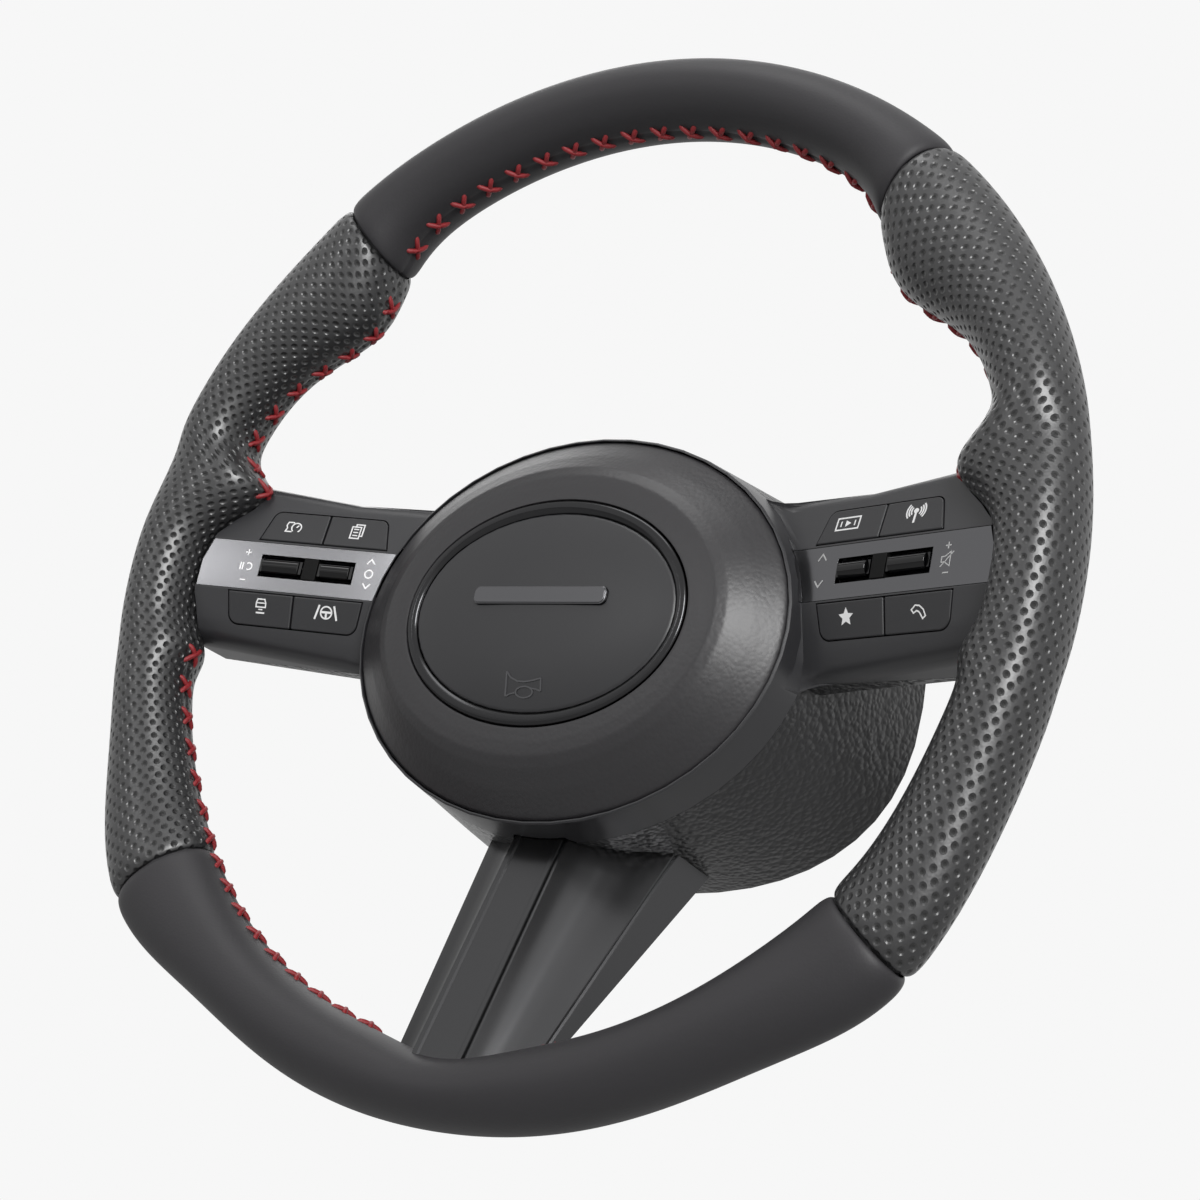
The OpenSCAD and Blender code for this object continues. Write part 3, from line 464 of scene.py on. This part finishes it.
def leather_piece(node, t0, t1, steps):
    t0, t1 = t0 + SEAM_GAP, t1 - SEAM_GAP
    middle = np.linspace(t0 + 2.6, t1 - 2.6, steps)
    t = np.concatenate([t0 + END_STEPS, middle, t1 - END_STEPS[::-1]])
    edge = np.minimum(t - t0, t1 - t)
    lip = 1.3 * np.exp(-edge / 0.28) + 0.5 * np.exp(-((edge / 1.1) ** 2))
    phi = np.arange(AROUND) * 360 / AROUND
    crease = 0.7 * np.exp(-(((phi[None, :] - stitch_line(t)[:, None]) / 3.2) ** 2))
    grid = rim_points(t[:, None] + 0 * phi, phi + 0 * t[:, None], lip[:, None] + crease)
    first, last = (rim_points(np.full(AROUND, end), phi, END_DEEP) for end in (t[0], t[-1]))
    grid = np.concatenate([[first], grid, [last]])
    piece = grid_mesh(node, grid, uv=skin_uv(grid, t))
    outward(piece, 60)
    stand_in(piece, node)
    print(node, "has", len(piece.data.polygons), "faces")


leather_piece("leather_top", -SEAM_TOP, SEAM_TOP, 90)
leather_piece("leather_grip_right", SEAM_TOP, SEAM_LOW, 150)
leather_piece("leather_grip_left", -SEAM_LOW, -SEAM_TOP, 150)
leather_piece("leather_bottom", SEAM_LOW, 360 - SEAM_LOW, 200)

# %% [markdown]
# ## Cross stitches
#
# Each stitch is two short thick threads that cross over the crease. They follow the rim's inner
# edge at an even pitch of about 12 mm and stop where a spoke meets the rim.

# %% Stitches
PITCH, REACH = 12.2, 3.1  # from stitch to stitch, and from its middle to its end, along the rim
THREAD_R, TURN = 0.95, 12.5  # the thread's radius, and the stitch's half width in degrees
SPOKE_FROM, SPOKE_TO, FOOT_FROM = 78.3, 101.4, 171  # angles where a spoke covers the edge


def thread(path, sides=8):
    rings = []
    for i, p in enumerate(path):
        a = path[max(i - 1, 0)]
        b = path[min(i + 1, len(path) - 1)]
        d = (b - a) / np.linalg.norm(b - a)
        side = np.cross(d, [0.31, 0.87, 0.38])
        side /= np.linalg.norm(side)
        up = np.cross(side, d)
        k = np.arange(sides) * 2 * np.pi / sides
        rings.append(p + THREAD_R * (np.cos(k)[:, None] * side + np.sin(k)[:, None] * up))
    return np.array(rings)


def stitch_places():
    t = np.linspace(0, 360, 7201)
    pts = rim_points(t, stitch_line(t), 0)
    s = np.concatenate([[0], np.cumsum(np.linalg.norm(np.diff(pts, axis=0), axis=1))])
    count = round(s[-1] / PITCH)
    for k in range(count):
        at = float(np.interp((k + 0.5) * s[-1] / count, s, t))
        f = float(fold(np.array(at)))
        on_spoke = SPOKE_FROM < f < SPOKE_TO or f > FOOT_FROM
        on_seam = min(abs(f - SEAM_TOP), abs(f - SEAM_LOW)) < 1.0
        if not on_spoke and not on_seam:
            yield at


def stitches():
    verts, faces = [], []
    k = np.linspace(-1, 1, 9)
    for at in stitch_places():
        tenth = rim_points(np.array([at - 0.05, at + 0.05]), stitch_line(at), 0)
        step = REACH / (np.linalg.norm(tenth[1] - tenth[0]) * 10)  # mm to degrees
        for way, lift in ((1, 0.1), (-1, 0.6)):
            rise = lift * np.exp(-((k / 0.4) ** 2)) + 0.3 - 1.3 * np.abs(k) ** 6
            rings = thread(rim_points(at + step * k, stitch_line(at) + way * TURN * k, -rise))
            base, n = len(verts), rings.shape[1]
            verts.extend(rings.reshape(-1, 3).tolist())
            for i in range(len(rings) - 1):
                low, high = base + i * n, base + (i + 1) * n
                for j in range(n):
                    j2 = (j + 1) % n
                    faces.append((low + j, low + j2, high + j2, high + j))
            faces.append(tuple(base + j for j in range(n))[::-1])
            faces.append(tuple(base + (len(rings) - 1) * n + j for j in range(n)))
    piece = link_mesh("cross_stitches", verts, faces)
    outward(piece, 60)
    piece.data.materials.append(THREAD)
    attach(piece, "wheel")


stitches()
print("stitches:", len(list(stitch_places())))

# %% [markdown]
# ## Airbag cover and emblem ring
#
# The cover is a lofted oval dome with a flatter field in the middle. A plated ring lies in the
# field. Each row of a profile is one oval: its two half widths and its depth from the rim's
# plane. The profile goes down the outside and comes back up the inside, so the piece is closed.


# %% Ovals of the hub
def smooth_profile(points, steps):
    p = np.asarray(points, float)
    d = np.concatenate([[0], np.cumsum(np.linalg.norm(np.diff(p, axis=0), axis=1))])
    s = np.linspace(0, d[-1], steps)
    dense = np.stack([np.interp(s, d, p[:, k]) for k in range(p.shape[1])], -1)
    for _ in range(3):
        dense[1:-1] = (dense[:-2] + 2 * dense[1:-1] + dense[2:]) / 4
    return dense


def oval_piece(node, profile, steps=192):
    t = np.arange(steps) * 2 * np.pi / steps
    rows = [np.stack([a * np.cos(t), np.full(steps, RIM_Y + d), b * np.sin(t) - HUB_DROP], -1)
            for a, b, d in profile]
    piece = grid_mesh(node, np.array(rows), closed_rows=True)
    outward(piece, 40)
    stand_in(piece, node)
    print(node, "has", len(profile), "rings")


def cover_b(a):
    """The cover's half height where its half width is a."""
    swell = 0.35 * math.exp(-(((a - 64) / (4 if a < 64 else 8)) ** 2))
    return a - 14.9 - 1.3 * (max(0, a - 60) / 24) ** 1.6 + swell


slope = smooth_profile([[84, 14], [84, 12.6], [83.2, 11.4], [82, 10.4], [75, 4.9], [68.2, 0.1],
                        [64.5, -1.6], [60, -2.3], [55.9, -2.55]], 90)
cover = [[84, 67.8, 24]] + [[a, cover_b(a), d] for a, d in slope]
cover += [[55.35, 40.45, -2.5], [55.1, 40.2, -2.2], [55.1, 40.2, 0.3], [53.8, 38.9, 2.7]]
cover += [[66.6, 51.6, 3.6], [73.6, 58.4, 8], [79.4, 63.6, 12.4], [81.4, 65.4, 14.8]]
cover += [[81.4, 65.4, 24]]
oval_piece("airbag_cover", cover)
ring = smooth_profile([[54.8, 39.9, -2.0], [54.7, 39.8, -2.6], [54.2, 39.3, -3.1],
                       [52.6, 37.4, -3.5], [51.3, 36.0, -2.9], [50.8, 35.3, -2.2]], 24)
oval_piece("emblem_ring", [[54.8, 39.9, 0.3]] + ring.tolist() + [[50.8, 35.25, 0.3]])

# %% [markdown]
# ## Lower spoke
#
# A raised band runs down the middle between two hollow flanks. Each flank ends in a bright edge,
# a groove and a straight side wall. The foot runs into the leather, and the top follows the
# oval of the hub. `spoke_half` is the right half of the cross-section at one height.

# %% Lower spoke
BAND = 9.6  # half width of the raised band
FLANK = np.array([[0, 0], [0.14, 0.26], [0.36, 0.53], [0.62, 0.74], [0.86, 0.9], [1, 1]])
HUB_A, HUB_B, RIM_END = 86.1, 69.9, 171.0  # the oval at the top, the circle at the foot


def spoke_half(z):
    """Depths at this height: b of the band, f of the front edge, side of the back; w is wide."""
    b, w = 23.5 + 0.3847 * (z + 85.5), 37.2 + 0.139 * (z + 84.3)
    f, side = 48 + 0.5165 * (z + 84.3), 72.6 + 0.7518 * (z + 86.2)
    k = np.linspace(0, 5, 26)
    hollow = smooth_profile(np.stack([np.interp(k, range(6), line) for line in FLANK.T], -1), 26)
    x1, y1 = BAND + 1, b + 1.4
    front = [[0, b + 0.7], [BAND - 2.5, b + 0.7], [BAND - 1.9, b], [BAND - 0.2, b],
             [BAND - 0.1, b + 1.2], [BAND + 0.2, b + 1.2], [x1, y1]]
    front += [[x1 + (w - x1) * c[0], y1 + (f - b - 1.4) * c[1]] for c in hollow[1:-1]]
    front += [[w - 0.25, f - 0.15], [w, f + 0.25], [w - 0.9, f + 0.8], [w - 0.9, f + 2],
              [w - 0.2, f + 2.6], [w, f + 3], [w, side]]
    behind = [[w - 1.8, side], [w - 1.8, f + 5], [BAND + 2, b + 6], [0, b + 4.5]]
    return np.array(front + behind)


def spoke_ring(share):
    """Whole cross-section at this share of the way from the hub to the rim."""
    half = spoke_half(-90 - share * (RIM_END - 90))
    for _ in range(3):
        start = HUB_DROP + HUB_B * np.sqrt(1 - (half[:, 0] / HUB_A) ** 2)
        z = -start - share * (np.sqrt(RIM_END**2 - half[:, 0] ** 2) - start)
        half = np.array([spoke_half(zi)[i] for i, zi in enumerate(z)])
    right = np.stack([half[:, 0], RIM_Y + half[:, 1], z], -1)
    left = right[-2:0:-1] * [-1, 1, 1]
    return np.concatenate([right, left])


rings = np.array([spoke_ring(k) for k in np.linspace(0, 1, 25)])
spoke = grid_mesh("lower_spoke_trim_looks", rings)
only(spoke)
bpy.ops.object.mode_set(mode="EDIT")
bpy.ops.mesh.select_all(action="DESELECT")
bpy.ops.mesh.select_non_manifold()
bpy.ops.mesh.fill_holes(sides=0)
bpy.ops.object.mode_set(mode="OBJECT")
outward(spoke, 24)
stand_in(spoke, "lower_spoke_trim")
print("lower spoke:", len(spoke.data.polygons), "faces")

# %% [markdown]
# ## The other visible parts
#
# They keep the CAD shape and get soft edges, so that each one catches a thin line of light. The
# hidden parts keep their own mesh and only get their material.

# %% Soft-edged copies of the CAD parts
for node in frame["nodes"]:
    if frame["nodes"][node].hide_render or node == "lower_spoke_trim":
        continue
    if node in ("front_bezel", "rear_cover", "lower_spoke_back"):
        dress(node, 0.35, 32)
    elif "button" in node:
        dress(node, 0.55, 40, 3)
    elif node.startswith("toggle_divider"):
        # The dividers take the black plastic darkened with painted rib shade.
        dress(node, 0.2, 40).data.materials[0] = DIVIDER
    elif node.startswith("toggle"):
        dress(node, 0.45, 25, 1)
    elif node.startswith(("trim_strip", "emblem")):
        dress(node, 0.25, 40)
    else:
        frame["nodes"][node].data.materials.clear()
        frame["nodes"][node].data.materials.append(MATS[SLOT_OF[node]])

# %% [markdown]
# ## Places on the spoke faces
#
# The face of each side spoke turns back by 14 degrees. Its strip lies flat, and the rows of
# buttons above and below it lean away. A place is given by its lengths along and up the face and
# its lift off it.

# %% Places on the spoke faces
FACE_X, FACE_Y, FACE_TURN = 115.6, -50.8, math.radians(14)  # middle of the strip, and its turn
ZONES = {"upper": (-10, 11.9), "lower": (16, -7.9), "strip": (0, 0)}  # lean in degrees, height


def face_place(side, zone, u, v, lift):
    lean, z0 = ZONES[zone]
    lean = math.radians(lean)
    y = -lift * math.cos(lean) - v * math.sin(lean)
    z = -lift * math.sin(lean) + v * math.cos(lean) + z0
    x = FACE_X + u * math.cos(FACE_TURN) + y * math.sin(FACE_TURN)
    return side * x, FACE_Y - u * math.sin(FACE_TURN) + y * math.cos(FACE_TURN), z


print("middle of the right strip:", face_place(1, "strip", 0, 0, 0), "mm")

# %% [markdown]
# ## Strokes
#
# A pictogram is drawn flat, in mm, from short strokes and filled outlines. Then it is laid on
# the face that carries it and gets the thickness of paint.

# %% Strokes
PAINT = 0.05  # thickness of a print
MITRE = 0.45  # sharp corners reach no further out than this cosine allows
JOIN_M = 0.000002  # corners of neighbouring strokes this close are one


def arc(cx, cy, r, a0, a1, steps, squash=1.0):
    k = np.radians(np.linspace(a0, a1, steps + 1))
    return [(cx + r * math.cos(a), cy + squash * r * math.sin(a)) for a in k]


def stroke(points, width):
    """One four-sided face for each length of the line, mitred at the corners."""
    p = np.asarray(points, float)
    shut = np.allclose(p[0], p[-1])
    if shut:
        p = p[:-1]
    left, right = [], []
    for i in range(len(p)):
        before = p[i] - p[i - 1] if (i or shut) else p[1] - p[0]
        after = p[(i + 1) % len(p)] - p[i] if (i < len(p) - 1 or shut) else p[i] - p[i - 1]
        n0 = np.array([-before[1], before[0]]) / np.linalg.norm(before)
        n1 = np.array([-after[1], after[0]]) / np.linalg.norm(after)
        m = (n0 + n1) / np.linalg.norm(n0 + n1)
        m = m * width / 2 / max(MITRE, float(m @ n0))
        left.append(p[i] + m)
        right.append(p[i] - m)
    ends = [(i, (i + 1) % len(p)) for i in range(len(p) if shut else len(p) - 1)]
    return [[left[i], left[j], right[j], right[i]] for i, j in ends]


def lines(width, *paths):
    return [face for path in paths for face in stroke(path, width)]


def pictogram(name, body, polygons, place, material, thick=PAINT):
    verts, faces = [], []
    for polygon in polygons:
        faces.append(tuple(range(len(verts), len(verts) + len(polygon))))
        verts.extend(place(x, y) for x, y in polygon)
    piece = link_mesh(name, verts, faces)
    only(piece)
    bpy.ops.object.mode_set(mode="EDIT")
    bpy.ops.mesh.select_all(action="SELECT")
    bpy.ops.mesh.remove_doubles(threshold=JOIN_M)
    bpy.ops.object.mode_set(mode="OBJECT")
    if sum(f.normal.y for f in piece.data.polygons) > 0:
        piece.data.flip_normals()
    apply(piece, "SOLIDIFY", thickness=thick / 1000, offset=-1)
    piece.data.materials.append(material)
    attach(piece, body)


print("a ring of 24 strokes has", len(stroke(arc(0, 0, 1, 0, 360, 24), 0.5)), "faces")

# %% [markdown]
# ## The drawings
#
# Generic signs only: a source, radio waves, a star, a telephone, a gauge, sheets, a car, a lane
# and the marks on the strips.


# %% The drawings
def star(r, r2):
    k = [math.radians(90 + 36 * i) for i in range(10)]
    return [[(q * math.cos(a), q * math.sin(a)) for a, q in zip(k, [r, r2] * 5)]]


def box_line(x0, y0, x1, y1):
    return [(x0, y0), (x1, y0), (x1, y1), (x0, y1), (x0, y0)]


def level(y, half):
    return [(-half, y), (half, y)]


def chevron(way, w=1.7, h=1.1):
    return stroke([(-w, -way * h), (0, way * h), (w, -way * h)], 0.5)


waves = [arc(0, 1.2, r, middle - 42, middle + 42, 10) for r in (1.9, 2.8, 3.7)
         for middle in (0, 180)]
fan = lines(0.8, [(0, -3.2), (0, 0.6)]) + [arc(0, 1.2, 0.95, 0, 345, 15)] + lines(0.55, *waves)
phone = stroke([(-2.7, 0.5), (-1.2, 1.8), (0.4, 1.6), (1.9, 0.3), (2.7, -1.7), (1.6, -2.5),
                (0.9, -1.3), (0.2, -0.3), (-0.7, 0.1), (-1.9, -0.6), (-2.7, 0.5)], 0.45)
sheets = lines(0.5, box_line(-2.3, -2.9, 1.2, 1.9),
               [(-0.9, 2.0), (-0.9, 2.9), (2.3, 2.9), (2.3, -1.8), (1.3, -1.8)])
sheets += lines(0.45, *[[(-1.5, y), (0.5, y)] for y in (0.9, -0.4, -1.7)])
gauge = lines(0.5, [(-0.3, -2.0), (-2.9, -2.0), (-2.4, -0.6), (-2.9, 0.6), (-2.4, 1.9),
                    (-0.4, 1.9), (0.3, 1.3)],
              arc(1.2, -0.2, 1.9, -60, 235, 18), [(1.2, -0.2), (2.0, 0.8)])
lane = lines(0.75, [(-4.4, -2.6), (-2.9, 2.6)], [(4.4, -2.6), (2.9, 2.6)])
lane += lines(0.55, arc(0, 0, 2.2, 0, 360, 24))
lane += lines(0.8, level(0.1, 2), [(0, 0), (0, -2)])
car = lines(0.5, [(-1.4, 2.6), (1.4, 2.6), (1.9, 1.2), (1.9, -0.3), (-1.9, -0.3), (-1.9, 1.2),
                  (-1.4, 2.6)])
car += lines(0.45, level(1.2, 1.7), level(-1.2, 0.8)) + lines(0.6, level(-2.4, 1.7))
source = lines(0.55, box_line(-4.6, -2.2, 4.6, 2.2)) + [[(-0.9, -1.2), (1.3, 0), (-0.9, 1.2)]]
source += lines(0.5, [(-2.8, -1.0), (-2.8, 1.0)], [(2.8, -1.0), (2.8, 1.0)])
minus = lines(0.45, level(0, 1.1))
plus = minus + lines(0.45, [(0, -1.1), (0, 1.1)])
mute = lines(0.35, [(-2.1, -0.9), (-2.1, 0.9), (-0.9, 0.9), (1.2, 2.3), (1.2, -2.3),
                    (-0.9, -0.9), (-2.1, -0.9)], [(-2.3, -2.4), (2.3, 2.4)])
pause = lines(0.5, [(-2.1, -1.4), (-2.1, 1.4)], [(-1.2, -1.4), (-1.2, 1.4)])
pause += lines(0.45, arc(1.2, 0, 1.3, -120, 130, 14))
ring_icon = stroke(arc(0, 0, 1.5, 0, 360, 24), 0.5)
print("faces in the radio sign:", len(fan))

# %% [markdown]
# ## Prints
#
# Each row says which spoke (1 is the right one), which place on it, and which drawing.

# %% Prints on the buttons and the strips
BUTTON_LIFT, STRIP_LIFT = 0.43, 0.12  # how far each surface stands off the plane of the face
BUTTONS = [
    (1, "upper", "inner", -18.3, 7.1, source),
    (1, "upper", "outer", 8.9, 7.1, fan),
    (1, "lower", "inner", -12.7, -5.5, star(3.1, 1.45)),
    (1, "lower", "outer", 16.0, -5.9, phone),
    (-1, "upper", "outer", 9.6, 6.6, gauge),
    (-1, "upper", "inner", -16.0, 7.0, sheets),
    (-1, "lower", "outer", 15.0, -5.2, car),
    (-1, "lower", "inner", -11.4, -5.2, lane),
]
for side, zone, reach, u0, v0, drawing in BUTTONS:
    node = f"{zone}_{reach}_button_{'right' if side > 0 else 'left'}"
    pictogram(node + "_print", BODY_OF[node], drawing,
              lambda x, y: face_place(side, zone, u0 + side * x, v0 + y, BUTTON_LIFT), ICON)

STRIPS = [
    (1, -25.7, 7.6, chevron(1)),
    (1, -25.7, -1.4, chevron(-1)),
    (1, 24.9, 6.4, plus),
    (1, 25.0, 1.9, mute),
    (1, 25.1, -2.6, minus),
    (-1, 24.6, 6.9, plus),
    (-1, 24.5, 1.5, pause),
    (-1, 24.4, -3.8, minus),
    (-1, -24.9, 7.4, chevron(1, 1.5, 0.9)),
    (-1, -24.9, 2.7, ring_icon),
    (-1, -24.9, -1.9, chevron(-1, 1.5, 0.9)),
]
for count, (side, u0, v0, drawing) in enumerate(STRIPS):
    pictogram(f"strip_print_{count + 1}", "wheel", drawing,
              lambda x, y: face_place(side, "strip", u0 + side * x, v0 + y, STRIP_LIFT),
              ICON_GREY if side > 0 else ICON_WHITE)
print("pictograms:", len(BUTTONS), "on buttons,", len(STRIPS), "on strips")

# %% [markdown]
# ## Horn sign
#
# The horn sign is raised on the emblem disc. Each of its points is dropped straight onto the disc,
# and the lines stand 0.3 mm proud.

# %% Horn sign
PROUD, SIGN_THICK = 0.3, 0.6


def on_disc(x, z):
    disc = bpy.data.objects["emblem_disc_looks"]
    _, hit, _, _ = disc.ray_cast((x / 1000, -0.2, z / 1000), (0, 1, 0))
    return x, hit.y * 1000 - PROUD, z


bpy.context.view_layer.update()
horn = lines(0.6, [(-7.1, -40.0), (-6.8, -44.0), (-6.6, -48.2)])
horn += lines(0.5, [(-7.1, -40.0), (-5.2, -42.0), (-2.6, -43.1), (0.5, -43.3), (3.6, -42.8),
                    (6.6, -42.0)],
              [(6.6, -42.0), (7.1, -46.2)], [(7.1, -46.2), (5.0, -45.6), (3.4, -45.4)],
              [(-6.6, -48.2), (-4.8, -47.4), (-2.9, -47.0)],
              arc(0.7, -46.7, 3.3, 0, 360, 28, 0.56))
pictogram("horn_sign", "horn_pad", horn, on_disc, SIGN, SIGN_THICK)
print("horn sign:", len(horn), "strokes on the disc")

# %% [markdown]
# ## Camera
#
# The camera's place, its directions and its lens come from points measured in the photo.

# %% Camera
cam_data = bpy.data.cameras.new("camera")
cam_data.lens, cam_data.sensor_width = 71.79, 36
cam_data.clip_start, cam_data.clip_end = 0.01, 50
camera = bpy.data.objects.new("camera", cam_data)
bpy.context.collection.objects.link(camera)
right = (0.84257158, 0.50236417, 0.19417355)
down = (0.00145345, 0.35840358, -0.93356562)
ahead = (-0.53858242, 0.78687808, 0.30125051)
turn = Matrix([[right[i], -down[i], -ahead[i]] for i in range(3)]).to_4x4()
turn.translation = (0.4425, -0.6773, -0.2492)
camera.matrix_world = turn
bpy.context.scene.camera = camera
print("camera at", tuple(round(v, 3) for v in camera.matrix_world.translation))

# %% [markdown]
# ## Lamps
#
# Soft lamps light the wheel from above, from the front right and from behind. Three small ones
# are there for the left strip alone, which mirrors them towards the camera.


# %% Lamps
def softbox(name, place, target, size, power):
    data = bpy.data.lights.new(name, "AREA")
    data.shape, data.size, data.size_y, data.energy = "RECTANGLE", size[0], size[1], power
    lamp = bpy.data.objects.new(name, data)
    bpy.context.collection.objects.link(lamp)
    lamp.location = place
    lamp.rotation_euler = (Vector(target) - lamp.location).to_track_quat("-Z", "Y").to_euler()


MIDDLE, LEFT_STRIP = (0, 0, 0), (-0.12, -0.05, 0)
LAMPS = [
    ("key", (-0.4, -1.0, 2.2), MIDDLE, (1.2, 1.2), 14),
    ("front_right", (1.9, -2.2, 0.76), MIDDLE, (0.92, 1.65), 86),
    ("back_left", (-1.3, 1.2, 1.6), MIDDLE, (1.2, 1.0), 9),
    ("strip_glow_outer", (-0.60, -1.5, 0.43), LEFT_STRIP, (0.08, 0.16), 0.5),
    ("strip_glow_inner", (-0.325, -1.5, 0.45), LEFT_STRIP, (0.08, 0.16), 0.5),
    ("strip_fill", (-0.46, -1.5, 0.44), LEFT_STRIP, (0.5, 0.3), 0.3),
]
for lamp in LAMPS:
    softbox(*lamp)
print(len(LAMPS), "soft lamps, in watts:", [lamp[4] for lamp in LAMPS])

# %% [markdown]
# ## Pale studio
#
# The world and the floor are pale for the camera and in reflections, but give the object only a
# soft light of their own.

# %% World and floor
AMBIENT, FLOOR_GLOW, FLOOR_Z = 0.28, 0.2, -0.42


def seen_directly(tree):
    """1 for camera, glossy and transmission rays, 0 for the rest."""
    rays = add(tree, "LightPath").outputs
    seen = maths(tree, "MAXIMUM", rays["Is Camera Ray"], rays["Is Glossy Ray"])
    return maths(tree, "MAXIMUM", seen, rays["Is Transmission Ray"])


world = bpy.data.worlds.new("studio")
bpy.context.scene.world = world
world.use_nodes = True
tree = world.node_tree
back = tree.nodes["Background"]
back.inputs["Color"].default_value = linear("#f7f7f7")
extra_light = maths(tree, "MULTIPLY", seen_directly(tree), 1 - AMBIENT)
tree.links.new(maths(tree, "ADD", extra_light, AMBIENT), back.inputs["Strength"])

bpy.ops.mesh.primitive_plane_add(size=6, location=(0, 0, FLOOR_Z))
floor = bpy.context.object
floor.name = "floor"
floor_mat, tree, shader = new_material("Pale studio floor", "#c4c4c4", 0.9)
pale = add(tree, "Emission", {"Color": linear("#f2f2f2"), "Strength": 1.0})
share = maths(tree, "MULTIPLY", seen_directly(tree), FLOOR_GLOW)
blend = add(tree, "MixShader", i0=share, i1=shader.outputs[0], i2=pale.outputs[0])
tree.links.new(blend.outputs[0], tree.nodes["Material Output"].inputs["Surface"])
floor.data.materials.append(floor_mat)
bpy.context.scene.view_settings.view_transform = "Standard"
